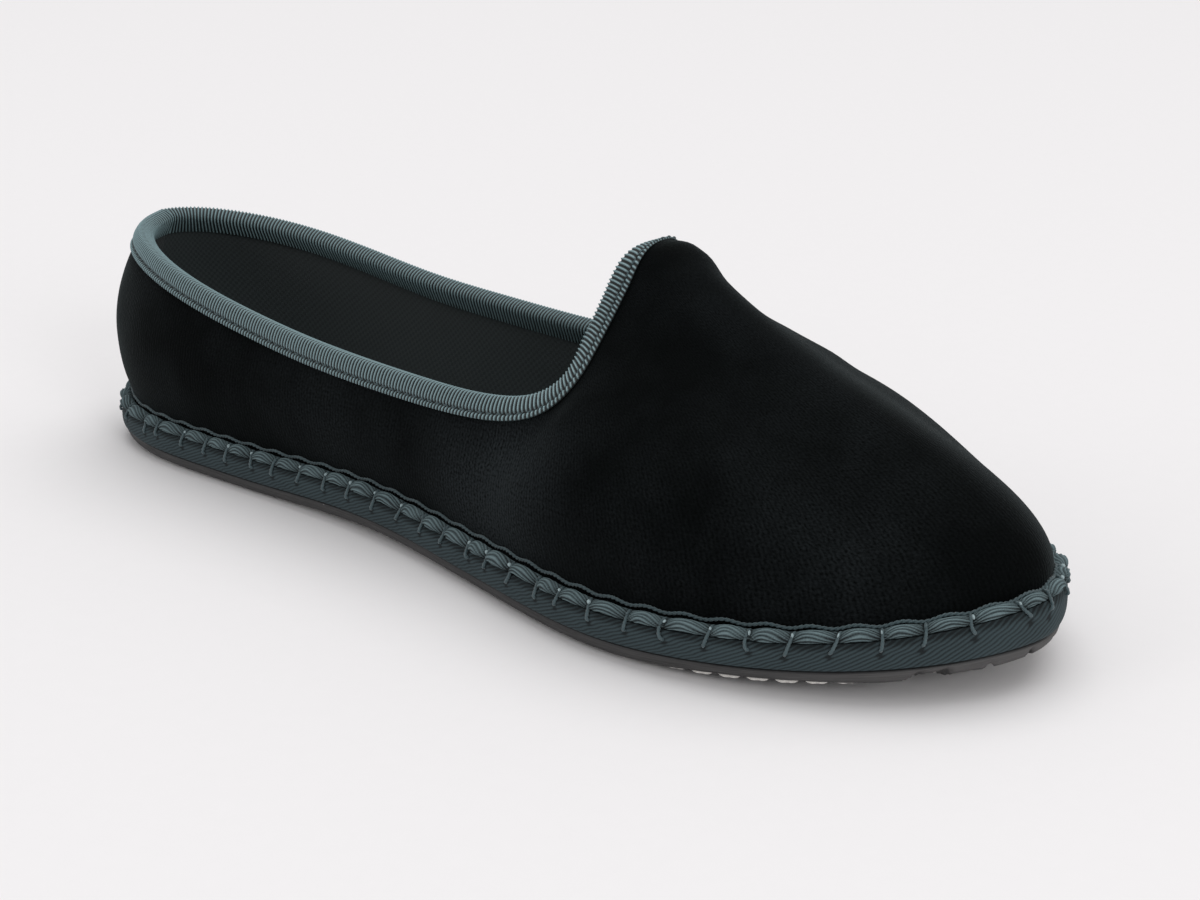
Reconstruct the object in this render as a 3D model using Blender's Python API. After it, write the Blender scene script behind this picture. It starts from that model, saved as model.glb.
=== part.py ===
"""Velvet slipper with a pointed throat, standing empty on its sole.

Metres, +Z up, +X to the toe, +Y to the wearer's left. The outline is symmetric, so the shoe fits either foot.
"""

import bpy
import numpy as np

MM = 0.001

# Driving dimensions
LENGTH = 250.0 * MM
BALL_WIDTH = 84.6 * MM
PEAK_HEIGHT = 68.4 * MM
HEEL_HEIGHT = 51.5 * MM
TOE_SPRING = 5.9 * MM
TOE_THICKENING = 2.0 * MM
ARCH_LIFT = 1.0 * MM
RUBBER = 3.3 * MM
BAND = 4.9 * MM
ROLL = 2.6 * MM
UPPER_WALL = 2.0 * MM
UPPER_INSET = 3.4 * MM
INSOLE = 3.0 * MM
BINDING_WIDTH = 4.2 * MM
BINDING_WIDTH_AT_PEAK = 2.2 * MM
BINDING_THICKNESS = 0.8 * MM
GAP = 0.3 * MM

# Where the sole leaves the floor, measured from the back of the heel
HEEL_FLAT_END = 62.0 * MM
ARCH_END = 140.0 * MM
SPRING_START = 165.0 * MM
THICKENING_START = 215.0 * MM

# Grid of the curved pieces, on one half of the shoe
AROUND = 42
UP_THE_WALL = 10
GROOVE_STEPS = 12
SHARP_ANGLE = np.radians(40)

# The tables are for this last, and the driving dimensions scale them
LAST = {"length": 250.0, "ball_half": 42.3, "peak": 68.4, "heel": 51.5}

# Half outline of the sole: x from the heel, half = distance from the centre line
OUTLINE = (
    # x, half
    (250.0, 0.0),
    (247.6, 9.2),
    (240.0, 20.2),
    (225.0, 31.6),
    (205.0, 39.2),
    (181.0, 42.3),
    (150.0, 37.3),
    (120.0, 31.0),
    (85.0, 28.0),
    (45.0, 28.1),
    (20.0, 24.9),
    (5.0, 14.5),
    (0.0, 0.0),
)

# Ribs of the upper from the sole to the topline. along = share of the way from the toe tip to the heel.
# Each has a foot handle (out and up from the foot), handles at belly, throat and crest, and its end on the topline.
RIBS = (
    # along, out, up, belly x, y, z, throat x, y, z, crest x, y, z, top x, y, z
    (0.00, 9.0, 7.5, 225.5, 0.0, 51.0, 191.0, 0.0, 36.0, 175.5, 0.0, 69.5, 160.5, 0.0, 67.5),
    (0.10, 8.0, 7.0, 216.0, 16.5, 47.0, 187.0, 11.0, 37.0, 171.5, 7.4, 65.5, 159.0, 7.0, 65.5),
    (0.20, 5.0, 11.5, 205.5, 32.4, 43.6, 178.0, 20.2, 42.0, 166.0, 12.4, 57.5, 157.0, 11.2, 57.6),
    (0.28, 4.0, 12.0, 188.0, 41.0, 35.0, 172.0, 28.0, 41.0, 163.0, 18.5, 49.5, 156.8, 17.2, 50.0),
    (0.34, 3.6, 12.0, 171.0, 41.5, 30.0, 165.0, 33.0, 36.5, 160.0, 24.5, 42.5, 156.2, 21.8, 44.3),
    (0.40, 3.2, 10.5, 155.5, 38.0, 26.0, 155.5, 34.0, 31.0, 153.0, 28.5, 36.0, 150.5, 25.5, 39.6),
    (0.46, 3.0, 9.0, 138.5, 35.0, 24.0, 139.0, 32.5, 29.0, 139.0, 29.5, 33.5, 139.0, 27.0, 37.6),
    (0.54, 3.0, 8.5, 116.5, 31.5, 22.5, 117.5, 30.5, 27.5, 118.5, 28.8, 32.5, 119.0, 26.8, 37.2),
    (0.62, 3.0, 8.0, 94.0, 29.5, 22.0, 94.0, 29.5, 27.5, 94.5, 28.3, 33.0, 95.0, 26.4, 38.2),
    (0.72, 3.0, 8.0, 67.0, 30.0, 22.5, 68.0, 29.5, 29.0, 68.5, 27.6, 35.0, 69.0, 25.0, 40.5),
    (0.85, 3.0, 8.0, 26.5, 28.0, 23.0, 27.5, 27.5, 32.0, 29.5, 24.5, 40.0, 31.0, 20.8, 46.5),
    (0.93, 3.0, 8.0, 5.0, 18.0, 24.0, 5.0, 17.5, 34.0, 8.5, 14.0, 43.0, 11.5, 11.2, 49.5),
    (1.00, 3.0, 8.0, -2.2, 0.0, 24.0, -1.0, 0.0, 35.0, 2.5, 0.0, 44.0, 5.5, 0.0, 50.4),
)

# Side profiles of the sole layers: inset from the outline and height over the layer's base
RUBBER_SIDE = ((2.2 * MM, 0.0), (0.6 * MM, 0.22 * RUBBER), (0.2 * MM, 0.5 * RUBBER), (0.5 * MM, RUBBER))
BAND_SIDE = ((0.0, 0.0), (-0.8 * MM, 0.2 * BAND), (-0.8 * MM, 0.75 * BAND), (0.0, BAND))
INSOLE_SIDE = ((0.0, 0.0), (0.0, 0.8 * INSOLE), (0.8 * MM, INSOLE))
ROLL_SECTION = (
    # inset, height
    (0.4 * MM, 0.0),
    (-0.3 * MM, 0.15 * ROLL),
    (-0.4 * MM, 0.55 * ROLL),
    (0.2 * MM, 0.88 * ROLL),
    (1.1 * MM, ROLL),
    (1.9 * MM, 0.8 * ROLL),
    (2.5 * MM, 0.35 * ROLL),
    (2.6 * MM, 0.0),
)

# Main grooves of the tread: distance from the centre line, width, depth, first and last x
GROOVES = (
    # off, width, depth, start, end
    (4.1, 1.6, 1.2, 10.0, 240.0),
    (18.6, 1.0, 0.8, 24.0, 222.0),
    (21.2, 1.0, 0.8, 24.0, 218.0),
    (33.2, 1.0, 0.8, 168.0, 214.0),
)


def mirrored(knots, values, odd):
    """The table carried on past both centre-line ends as the other half of the shoe."""
    sign = np.where(odd, -1.0, 1.0)
    knots = np.concatenate([-knots[:0:-1], knots, 2 * knots[-1] - knots[-2::-1]])
    values = np.concatenate([values[:0:-1] * sign, values, values[-2::-1] * sign])
    return knots, values


def spline(knots, values, at):
    """Cubic spline with continuous curvature through the rows of values."""
    step = np.diff(knots)
    count = len(knots)
    matrix = np.eye(count)
    right = np.zeros_like(values)
    for i in range(1, count - 1):
        matrix[i, i - 1 : i + 2] = step[i - 1], 2 * (step[i - 1] + step[i]), step[i]
        right[i] = 6 * ((values[i + 1] - values[i]) / step[i] - (values[i] - values[i - 1]) / step[i - 1])
    bend = np.linalg.solve(matrix, right)
    i = np.clip(np.searchsorted(knots, at) - 1, 0, count - 2)
    h = step[i][..., None]
    b = ((at - knots[i]) / step[i])[..., None]
    a = 1 - b
    return a * values[i] + b * values[i + 1] + ((a**3 - a) * bend[i] + (b**3 - b) * bend[i + 1]) * h**2 / 6


SCALE_X = LENGTH / (LAST["length"] * MM)
SCALE_Y = BALL_WIDTH / (2 * LAST["ball_half"] * MM)
HALF = np.array(OUTLINE) * MM * (SCALE_X, SCALE_Y)
CHORD = np.concatenate([[0.0], np.cumsum(np.linalg.norm(np.diff(HALF, axis=0), axis=1))])
HALF_KNOTS, HALF_ROWS = mirrored(CHORD / CHORD[-1], HALF, (False, True))


def edge(along, inset):
    """Plan point on the sole's outline moved in by the inset, and the unit normal that points out."""
    here = spline(HALF_KNOTS, HALF_ROWS, along)
    ahead = spline(HALF_KNOTS, HALF_ROWS, along + 1e-4) - spline(HALF_KNOTS, HALF_ROWS, along - 1e-4)
    out = np.stack([ahead[..., 1], -ahead[..., 0]], -1)
    out /= np.linalg.norm(out, axis=-1, keepdims=True)
    return here - out * np.asarray(inset)[..., None], out


def ramp(x, start, end):
    return np.clip((x - start) / (end - start), 0.0, 1.0)


def lift(x):
    """Height of the sole's underside over the floor: arch at the waist and spring at the toe."""
    arch = ARCH_LIFT * np.sin(np.pi * ramp(x, HEEL_FLAT_END, ARCH_END)) ** 2
    return arch + TOE_SPRING * ramp(x, SPRING_START, LENGTH) ** 2


def thickening(x):
    return TOE_THICKENING * ramp(x, THICKENING_START, LENGTH) ** 2


BAND_BASE = RUBBER + GAP
DECK = BAND_BASE + BAND + GAP


def rib_table():
    """Knots and rows of the ribs in metres, scaled to the driving dimensions and mirrored."""
    table = np.array(RIBS)
    rows = table[:, 1:] * MM
    rows[:, 2::3] *= SCALE_X
    rows[:, 3::3] *= SCALE_Y
    front = ramp(rows[:, 11] / SCALE_X, 60 * MM, 130 * MM)
    tall = HEEL_HEIGHT / (LAST["heel"] * MM) * (1 - front) + PEAK_HEIGHT / (LAST["peak"] * MM) * front
    rows[:, 4::3] *= tall[:, None]
    odd = [False, False] + [False, True, False] * 4
    return mirrored(table[:, 0], rows, odd)


RIB_KNOTS, RIB_ROWS = rib_table()


def upper(along, t):
    """Point on the outside of the upper, t = 0 at the sole and 1 at the topline."""
    row = spline(RIB_KNOTS, RIB_ROWS, along)
    plan, out = edge(along, np.full(along.shape, UPPER_INSET))
    foot_z = DECK + lift(plan[..., 0]) + thickening(plan[..., 0])
    foot = np.concatenate([plan, foot_z[..., None]], -1)
    first = foot + np.concatenate([out * row[..., :1], row[..., 1:2]], -1)
    t = t[..., None]
    s = 1 - t
    return (
        s**5 * foot
        + 5 * s**4 * t * first
        + 10 * s**3 * t**2 * row[..., 2:5]
        + 10 * s**2 * t**3 * row[..., 5:8]
        + 5 * s * t**4 * row[..., 8:11]
        + t**5 * row[..., 11:14]
    )


def normal(along, t):
    """Unit normal of the upper, pointing out."""
    round_shoe = upper(along + 1e-3, t) - upper(along - 1e-3, t)
    rise = upper(along, t + 1e-3) - upper(along, t - 1e-3)
    n = np.cross(round_shoe, rise)
    return n / np.linalg.norm(n, axis=-1, keepdims=True)


def around(count=AROUND):
    """Shares of the half outline, closer together at the toe and the heel."""
    even = np.linspace(0.0, 1.0, count + 1)
    return even - 0.32 * np.sin(2 * np.pi * even) / (2 * np.pi)


def whole(half):
    """A ring of the whole shoe from its points on one half, which start and end on the centre line."""
    return np.concatenate([half * (1, -1, 1), half[-2:0:-1]])


def make(name, rings, faces, material, group):
    """An object from rings of points, with the origin moved from the heel to the middle of the length."""
    points = np.concatenate(rings) - (LENGTH / 2, 0, 0)
    mesh = bpy.data.meshes.new(name)
    mesh.from_pydata(points.tolist(), [], faces)
    mesh.materials.append(material)
    mesh.shade_smooth()
    mesh.set_sharp_from_angle(angle=SHARP_ANGLE)
    obj = bpy.data.objects.new(name, mesh)
    group.objects.link(obj)
    return obj


def band_faces(first, second, count):
    """Quads between two rings given by the index of their first points."""
    return [
        (first + i, second + i, second + (i + 1) % count, first + (i + 1) % count) for i in range(count)
    ]


def cap_faces(first, count, up):
    """Strips straight across the shoe, so that the cap follows the lift of the sole."""
    half = count // 2
    faces = []
    for i in range(half):
        left, next_left = (count - i) % count, (count - i - 1) % count
        strip = list(dict.fromkeys((first + i, first + i + 1, first + next_left, first + left)))
        faces.append(strip if not up else strip[::-1])
    return faces


def layer_ring(inset, height):
    """Ring at this inset from the outline; height is a function of x."""
    plan, _ = edge(around(), np.full(AROUND + 1, inset))
    return whole(np.concatenate([plan, height(plan[:, 0])[:, None]], -1))


def slab(name, inset, base, side, grow, material, group):
    """A closed sole layer: rings up its side, capped below and above. grow = share of the toe's thickening
    that its underside and its top take."""
    top = side[-1][1]

    def height(z):
        share = grow[0] + (grow[1] - grow[0]) * z / top
        return lambda x: base + z + lift(x) + thickening(x) * share

    rings = [layer_ring(inset + step, height(z)) for step, z in side]
    count = len(rings[0])
    faces = cap_faces(0, count, False)
    for i in range(len(rings) - 1):
        faces += band_faces(i * count, (i + 1) * count, count)
    faces += cap_faces((len(rings) - 1) * count, count, True)
    return make(name, rings, faces, material, group)


def tube(name, rings, material, group):
    """A closed ring from the rings of its section, in order round the section."""
    count = len(rings[0])
    faces = []
    for i in range(len(rings)):
        faces += band_faces(i * count, (i + 1) % len(rings) * count, count)
    return make(name, rings, faces, material, group)


def roll_rings():
    def height(z):
        return lambda x: DECK + z + lift(x) + thickening(x)

    return [layer_ring(step, height(z)) for step, z in ROLL_SECTION]


def upper_rings():
    """Up the outside of the wall and down its inside, with two rows under the binding."""
    along = around()
    low = share_below_edge(along)
    rows = [low * k / UP_THE_WALL for k in range(UP_THE_WALL + 1)] + [(low + 1) / 2, np.ones(along.shape)]
    outer, inner = [], []
    for t in rows:
        outside = upper(along, t)
        inside = outside - normal(along, t) * UPPER_WALL
        if t is rows[0]:
            inside[:, 2] = outside[:, 2]
        outer.append(whole(outside))
        inner.append(whole(inside))
    return outer + inner[::-1]


def share_below_edge(along):
    """The t at the binding's lower edge, a tape's width down each rib from the topline."""
    distance = BINDING_WIDTH + (BINDING_WIDTH_AT_PEAK - BINDING_WIDTH) * np.exp(-((along / 0.08) ** 2))
    t = np.linspace(0.4, 1.0, 121)
    grid = upper(np.repeat(along[:, None], 121, 1), np.repeat(t[None], len(along), 0))
    left = np.linalg.norm(np.diff(grid, axis=1), axis=2)[:, ::-1].cumsum(1)
    return np.array([np.interp(width, row, t[-2::-1]) for width, row in zip(distance, left)])


def binding_rings():
    """A folded tape over the topline: outer leg, fold and inner leg."""
    along = around()
    end = np.ones(along.shape)
    low = share_below_edge(along)
    middle = (low + end) / 2
    rise = upper(along, end) - upper(along, end - 1e-3)
    rise /= np.linalg.norm(rise, axis=-1, keepdims=True)
    near, far = GAP, GAP + BINDING_THICKNESS
    back = UPPER_WALL
    section = (
        (low, near, 0.0),
        (low, far, 0.0),
        (middle, far, 0.0),
        (end, far, 0.0),
        (end, far - 0.5 * MM, far),
        (end, -back - far + 0.5 * MM, far),
        (end, -back - far, 0.0),
        (middle, -back - far, 0.0),
        (low, -back - far, 0.0),
        (low, -back - near, 0.0),
        (middle, -back - near, 0.0),
        (end, -back - near, near),
        (end, near, near),
        (middle, near, 0.0),
    )
    return [whole(upper(along, t) + normal(along, t) * out + rise * over) for t, out, over in section]


def groove_cutters(sole, group):
    """Long straight grooves on both sides of the centre line, at one depth under the sole's bent underside."""
    for number, (off, width, depth, start, end) in enumerate(GROOVES):
        x = np.linspace(start, end, GROOVE_STEPS) * SCALE_X * MM
        floor = np.full(GROOVE_STEPS, -RUBBER)
        roof = lift(x) + depth * MM
        for side, middle in (("right", -off), ("left", off)):
            low, high = [(middle + half * width) * SCALE_Y * MM for half in (-0.5, 0.5)]
            corners = ((low, floor), (high, floor), (high, roof), (low, roof))
            rings = np.stack([np.stack([x, np.full(GROOVE_STEPS, y), z], -1) for y, z in corners], 1)
            faces = [(0, 3, 2, 1), tuple(4 * (GROOVE_STEPS - 1) + k for k in range(4))]
            for i in range(GROOVE_STEPS - 1):
                faces += [(4 * i + k, 4 * i + (k + 1) % 4, 4 * i + 4 + (k + 1) % 4, 4 * i + 4 + k) for k in range(4)]
            cutter = make(f"groove_{number}_{side}", rings, faces, sole.data.materials[0], group)
            cutter.hide_render = True
            cutter.display_type = "WIRE"
            cut = sole.modifiers.new(cutter.name, "BOOLEAN")
            cut.operation = "DIFFERENCE"
            cut.object = cutter


def material(name, colour, roughness):
    made = bpy.data.materials.new(name)
    made.use_nodes = True
    surface = made.node_tree.nodes["Principled BSDF"]
    surface.inputs["Base Color"].default_value = (*colour, 1.0)
    surface.inputs["Roughness"].default_value = roughness
    surface.inputs["Metallic"].default_value = 0.0
    return made


def collection(name):
    made = bpy.data.collections.new(name)
    bpy.context.scene.collection.children.link(made)
    return made


def build():
    for obj in list(bpy.data.objects):
        bpy.data.objects.remove(obj)
    slipper = collection("velvet_slipper")
    cutters = collection("cutters")
    rubber = material("rubber", (0.045, 0.045, 0.048), 0.55)
    twill = material("twill", (0.03, 0.055, 0.06), 0.9)
    velvet = material("velvet", (0.006, 0.012, 0.013), 1.0)
    tape = material("tape", (0.04, 0.08, 0.09), 0.8)
    lining = material("lining", (0.10, 0.11, 0.11), 0.9)

    outsole = slab("outsole", 0.0, 0.0, RUBBER_SIDE, (0.0, 0.0), rubber, slipper)
    groove_cutters(outsole, cutters)
    slab("wrapped_midsole", 0.0, BAND_BASE, BAND_SIDE, (0.0, 1.0), twill, slipper)
    tube("seam_roll", roll_rings(), twill, slipper)
    tube("upper", upper_rings(), velvet, slipper)
    tube("topline_binding", binding_rings(), tape, slipper)
    slab("insole", UPPER_INSET + UPPER_WALL + GAP, DECK, INSOLE_SIDE, (1.0, 1.0), lining, slipper)


build()
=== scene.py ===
"""Velvet slipper: the finish of every piece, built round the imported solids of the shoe.

Metres, +Z up, +X to the toe, +Y to the wearer's left. The shapes are worked out with x from the back of
the heel and moved to the middle of the length when a piece is made.
"""

import bmesh
import bpy
import numpy as np
from mathutils import Matrix, Vector
from mathutils.kdtree import KDTree


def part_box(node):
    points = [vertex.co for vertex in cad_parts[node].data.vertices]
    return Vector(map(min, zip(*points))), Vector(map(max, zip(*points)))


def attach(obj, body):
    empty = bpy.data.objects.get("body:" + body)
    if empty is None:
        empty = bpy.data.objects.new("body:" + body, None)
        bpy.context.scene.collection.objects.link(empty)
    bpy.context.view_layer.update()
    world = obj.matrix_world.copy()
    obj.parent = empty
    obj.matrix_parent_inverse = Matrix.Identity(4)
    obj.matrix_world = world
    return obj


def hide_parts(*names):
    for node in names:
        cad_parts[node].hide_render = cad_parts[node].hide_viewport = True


bl_info = {
    "name": "Velvet slipper",
    "version": (1, 0, 0),
    "blender": (4, 5, 0),
    "location": "3D View > Sidebar > Slipper",
    "description": "Makes the sewn, woven and moulded finish of a velvet slipper",
    "category": "Add Mesh",
}

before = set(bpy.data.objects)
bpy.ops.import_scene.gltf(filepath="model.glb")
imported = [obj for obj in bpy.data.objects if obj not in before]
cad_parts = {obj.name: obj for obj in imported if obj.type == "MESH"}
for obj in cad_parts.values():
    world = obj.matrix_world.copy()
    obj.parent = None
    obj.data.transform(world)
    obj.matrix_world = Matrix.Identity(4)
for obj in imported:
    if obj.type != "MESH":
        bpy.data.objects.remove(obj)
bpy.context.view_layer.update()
MM = 0.001

SOLE_LOW, SOLE_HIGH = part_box("outsole")
BAND_LOW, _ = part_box("wrapped_midsole")
ROLL_LOW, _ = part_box("seam_roll")

# The rubber's widest line lies this far inside the outline of the last
RUBBER_INSIDE = 0.2 * MM
LENGTH = SOLE_HIGH.x - SOLE_LOW.x + 2 * RUBBER_INSIDE
BALL_WIDTH = SOLE_HIGH.y - SOLE_LOW.y + 2 * RUBBER_INSIDE
TOE_SPRING = 5.9 * MM
TOE_THICKENING = 2.0 * MM
ARCH_LIFT = 1.0 * MM
UPPER_WALL = 2.0 * MM
UPPER_INSET = 3.4 * MM
BINDING_WIDTH = 4.2 * MM
BINDING_WIDTH_AT_PEAK = 0.9 * MM
GAP = 0.3 * MM
BAND_BASE = BAND_LOW.z
DECK = ROLL_LOW.z
BAND = DECK - GAP - BAND_BASE

HEEL_FLAT_END = 62.0 * MM
ARCH_END = 140.0 * MM
SPRING_START = 165.0 * MM
THICKENING_START = 215.0 * MM

# Small steps that give a direction: along the outline, and on walls and sections
OUTLINE_STEP = 1e-4
WALL_STEP = 1e-3
# Points along a curve that its length is taken from
DENSE = 8001
# Points closer than this are joined
WELD = 2e-6
TO_MIDDLE = (LENGTH / 2, 0.0, 0.0)

# Sockets of a colour mix
MIX_LOW = 6
MIX_HIGH = 7
MIXED = 2
# Length of one band of a wave pattern at scale 1
WAVE = 2 * np.pi / 20

# Size in mm of the last that the tables are drawn for
LAST = {"length": 250.0, "ball_half": 42.3}

# Half outline of the sole: x from the heel, half = distance from the centre line
OUTLINE = (
    # x, half
    (250.0, 0.0),
    (247.6, 9.2),
    (240.0, 20.2),
    (225.0, 31.6),
    (205.0, 39.2),
    (181.0, 42.3),
    (150.0, 37.3),
    (120.0, 31.0),
    (85.0, 28.0),
    (45.0, 28.1),
    (20.0, 24.9),
    (5.0, 14.5),
    (0.0, 0.0),
)

# Ribs of the upper from the sole to the topline. along = share of the way from the toe tip to the heel.
# Each has a foot handle (out and up from the foot), handles at belly, throat and crest, and its end on
# the topline.
RIBS = (
    # along, out, up, belly x, y, z, throat x, y, z, crest x, y, z, top x, y, z
    (0.00, 9.0, 7.5, 225.5, 0.0, 51.0, 191.0, 0.0, 36.0, 175.5, 0.0, 69.5, 160.5, 0.0, 67.5),
    (0.10, 8.0, 7.0, 216.0, 16.5, 47.0, 187.0, 11.0, 37.0, 171.5, 7.4, 65.5, 159.0, 7.0, 65.5),
    (0.20, 5.0, 11.5, 205.5, 32.4, 43.6, 178.0, 20.2, 42.0, 166.0, 12.4, 57.5, 157.0, 11.2, 57.6),
    (0.28, 4.0, 12.0, 188.0, 41.0, 35.0, 172.0, 28.0, 41.0, 163.0, 18.5, 49.5, 156.8, 17.2, 50.0),
    (0.34, 3.6, 12.0, 171.0, 41.5, 30.0, 165.0, 33.0, 36.5, 160.0, 24.5, 42.5, 156.2, 21.8, 44.3),
    (0.40, 3.2, 10.5, 155.5, 38.0, 26.0, 155.5, 34.0, 31.0, 153.0, 28.5, 36.0, 150.5, 25.5, 39.6),
    (0.46, 3.0, 9.0, 138.5, 35.0, 24.0, 139.0, 32.5, 29.0, 139.0, 29.5, 33.5, 139.0, 27.0, 37.6),
    (0.54, 3.0, 8.5, 116.5, 31.5, 22.5, 117.5, 30.5, 27.5, 118.5, 28.8, 32.5, 119.0, 26.8, 37.2),
    (0.62, 3.0, 8.0, 94.0, 29.5, 22.0, 94.0, 29.5, 27.5, 94.5, 28.3, 33.0, 95.0, 26.4, 38.2),
    (0.72, 3.0, 8.0, 67.0, 30.0, 22.5, 68.0, 29.5, 29.0, 68.5, 27.6, 35.0, 69.0, 25.0, 40.5),
    (0.85, 3.0, 8.0, 26.5, 28.0, 23.0, 27.5, 27.5, 32.0, 29.5, 24.5, 40.0, 31.0, 20.8, 46.5),
    (0.93, 3.0, 8.0, 5.0, 18.0, 24.0, 5.0, 17.5, 34.0, 8.5, 14.0, 43.0, 11.5, 11.2, 49.5),
    (1.00, 3.0, 8.0, -2.2, 0.0, 24.0, -1.0, 0.0, 35.0, 2.5, 0.0, 44.0, 5.5, 0.0, 50.4),
)

# Soft folds of the velvet, from one point of the wall to another. along < 0 is the right side, t = 0 at
# the sole and 1 at the topline. A trough has a depth below 0 and a ridge one above 0.
CREASES = (
    # along, t, along, t, width mm, depth mm
    (-0.375, 0.95, -0.455, 0.10, 8.0, -1.1),
    (0.370, 0.95, 0.450, 0.10, 8.0, -1.1),
    (-0.305, 0.88, -0.385, 0.16, 9.0, 0.7),
    (0.310, 0.88, 0.380, 0.16, 9.0, 0.6),
    (-0.170, 0.80, -0.235, 0.42, 11.0, -0.6),
    (0.160, 0.82, 0.225, 0.40, 11.0, -0.5),
    (0.066, 1.06, 0.068, 0.84, 6.0, 1.1),
    (0.070, 0.86, 0.095, 0.64, 7.0, -0.4),
    (0.115, 0.73, 0.165, 0.52, 9.0, 0.7),
    (-0.060, 0.50, -0.120, 0.14, 12.0, -0.4),
    (0.080, 0.46, 0.130, 0.16, 12.0, -0.35),
    (-0.540, 0.84, -0.520, 0.22, 7.0, -0.45),
    (-0.660, 0.82, -0.690, 0.26, 9.0, 0.4),
    (0.560, 0.84, 0.535, 0.24, 7.0, -0.4),
    (0.690, 0.80, 0.665, 0.24, 9.0, 0.4),
    (-0.880, 0.80, -0.905, 0.22, 8.0, -0.4),
    (0.900, 0.80, 0.885, 0.22, 8.0, -0.35),
)

# Section of the roll sewn over the seam: distance in from the outline and height over the cloth midsole
ROLL_SECTION = (
    # inset mm, height mm
    (0.4, 0.0),
    (-0.3, 0.3),
    (-0.4, 1.0),
    (0.2, 1.6),
    (1.0, 1.8),
    (1.8, 1.5),
    (2.4, 0.7),
    (2.5, 0.0),
)

# Path of a tack over the roll and into the band below it
TACK_PATH = (
    # inset mm, height mm
    (1.5, 1.7),
    (0.9, 1.5),
    (0.45, 1.15),
    (0.1, 0.65),
    (-0.2, 0.15),
    (-0.5, -0.35),
    (-0.8, -0.85),
    (-1.0, -1.3),
    (-0.95, -1.65),
    (-0.4, -2.0),
)

# Where the velvet is brushed against its pile: its colour is painted lighter there, a painted sheen of the
# light that the turned pile catches
BRUSHED_SHEEN = (
    # along, t, reach mm, share
    (-0.440, 0.22, 17.0, 1.0),
    (-0.405, 0.55, 10.0, 0.5),
    (0.440, 0.22, 17.0, 0.9),
    (0.405, 0.55, 10.0, 0.4),
    (-0.130, 0.24, 16.0, 0.22),
    (0.060, 0.58, 18.0, 0.25),
    (-0.620, 0.40, 20.0, 0.25),
    (0.620, 0.45, 20.0, 0.25),
    (-0.930, 0.45, 14.0, 0.3),
    (0.900, 0.40, 14.0, 0.3),
)

# Side of the rubber sole from its tread face to its top: distance in from the outline and height
RUBBER_SIDE = (
    # inset mm, height mm
    (3.2, 0.0),
    (2.4, 0.12),
    (1.7, 0.38),
    (1.1, 0.8),
    (0.65, 1.3),
    (0.35, 1.8),
    (0.22, 2.3),
    (0.25, 2.8),
    (0.45, 3.15),
    (0.9, 3.3),
)
# Share of a groove's depth that still cuts each of these lines where it runs out through the side
RUN_OUT = (1.0, 1.0, 1.0, 0.95, 0.8, 0.55, 0.25, 0.0, 0.0, 0.0)

# Rows of stitches on the tread inside the one along the edge: x from the heel and distance from the
# centre line
OUTER_LOOP = (
    # x, off
    (246.6, 0.9),
    (244.5, 7.0),
    (239.0, 13.3),
    (231.0, 19.3),
    (221.0, 24.0),
    (211.0, 27.6),
    (196.0, 30.1),
    (186.0, 30.8),
    (171.0, 30.1),
    (151.0, 27.0),
    (131.0, 23.3),
    (102.0, 19.4),
    (88.0, 18.9),
    (52.0, 18.3),
    (32.0, 17.3),
    (22.0, 14.2),
    (14.5, 8.0),
    (11.8, 0.0),
)
INNER_LOOP = (
    # x, off
    (246.0, 0.8),
    (243.5, 5.6),
    (238.0, 10.5),
    (231.0, 14.0),
    (221.0, 17.0),
    (211.0, 19.0),
    (201.0, 20.0),
    (191.0, 20.3),
    (176.0, 19.4),
    (166.0, 18.3),
    (151.0, 16.7),
    (131.0, 14.7),
    (116.0, 13.3),
    (102.0, 12.3),
    (88.0, 12.1),
    (52.0, 12.4),
    (37.0, 12.0),
    (28.5, 10.2),
    (22.0, 6.1),
    (18.5, 0.0),
)
CENTRE_ROW = (
    # x, off
    (246.0, 0.6),
    (243.0, 2.8),
    (236.0, 4.8),
    (221.0, 6.5),
    (201.0, 7.4),
    (186.0, 8.0),
    (166.0, 8.1),
    (151.0, 7.6),
    (131.0, 6.8),
    (102.0, 6.4),
    (88.0, 6.4),
    (52.0, 6.7),
    (13.3, 6.6),
)
# The row along the edge comes out over the rounded rim at the ball
EDGE_ROW_INSET = 3.4 * MM
EDGE_ROW_INSET_AT_BALL = 1.95 * MM
EDGE_ROW_IN_AT_TOE = 0.8 * MM

# Straight grooves of the tread: distance from the centre line, width, depth, first and last x
STRAIGHT_GROOVES = (
    # off, width, depth, start, end
    (18.6, 0.9, 0.7, -5.0, 255.0),
    (20.2, 0.7, 0.5, -5.0, 255.0),
    (21.8, 0.9, 0.7, -5.0, 255.0),
    (23.4, 0.7, 0.5, 60.0, 232.0),
    (33.2, 0.9, 0.5, 168.0, 198.0),
)
# The straight grooves widen to the toe between these x, in mm
GROOVES_WIDEN = (224.0, 238.0)
# Length of one repeat of the tread, half the width of its centre rib, and the notches in that, in mm
REPEAT = 15.0
RIB_HALF = 4.1
NOTCH_DEPTH = 1.4
NOTCH_HALF = 2.2
# Depth of the marks and of the sunk field round them, and the fine ribs outside it, in mm
MARK_DEPTH = 0.75
FIELD_DEPTH = 0.22
FINE_RIB_DEPTH = 0.2
FINE_RIB_PITCH = 2.2
DENT_DEPTH = 0.7
# One repeat of the marks beside the centre rib: start, end and half width at each end
MARKS = (
    # x, off, x, off, half width, half width
    (0.4, 8.6, 4.6, 15.6, 0.5, 1.2),
    (7.2, 11.4, 7.9, 15.4, 0.35, 0.75),
    (10.2, 11.6, 11.0, 15.2, 0.35, 0.75),
)
# Round dents left by the mould: x, y and radius
DENTS = (
    # x, y, radius
    (131.5, -1.2, 1.7),
    (212.0, 1.0, 1.0),
    (9.5, -7.5, 0.8),
)


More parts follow.
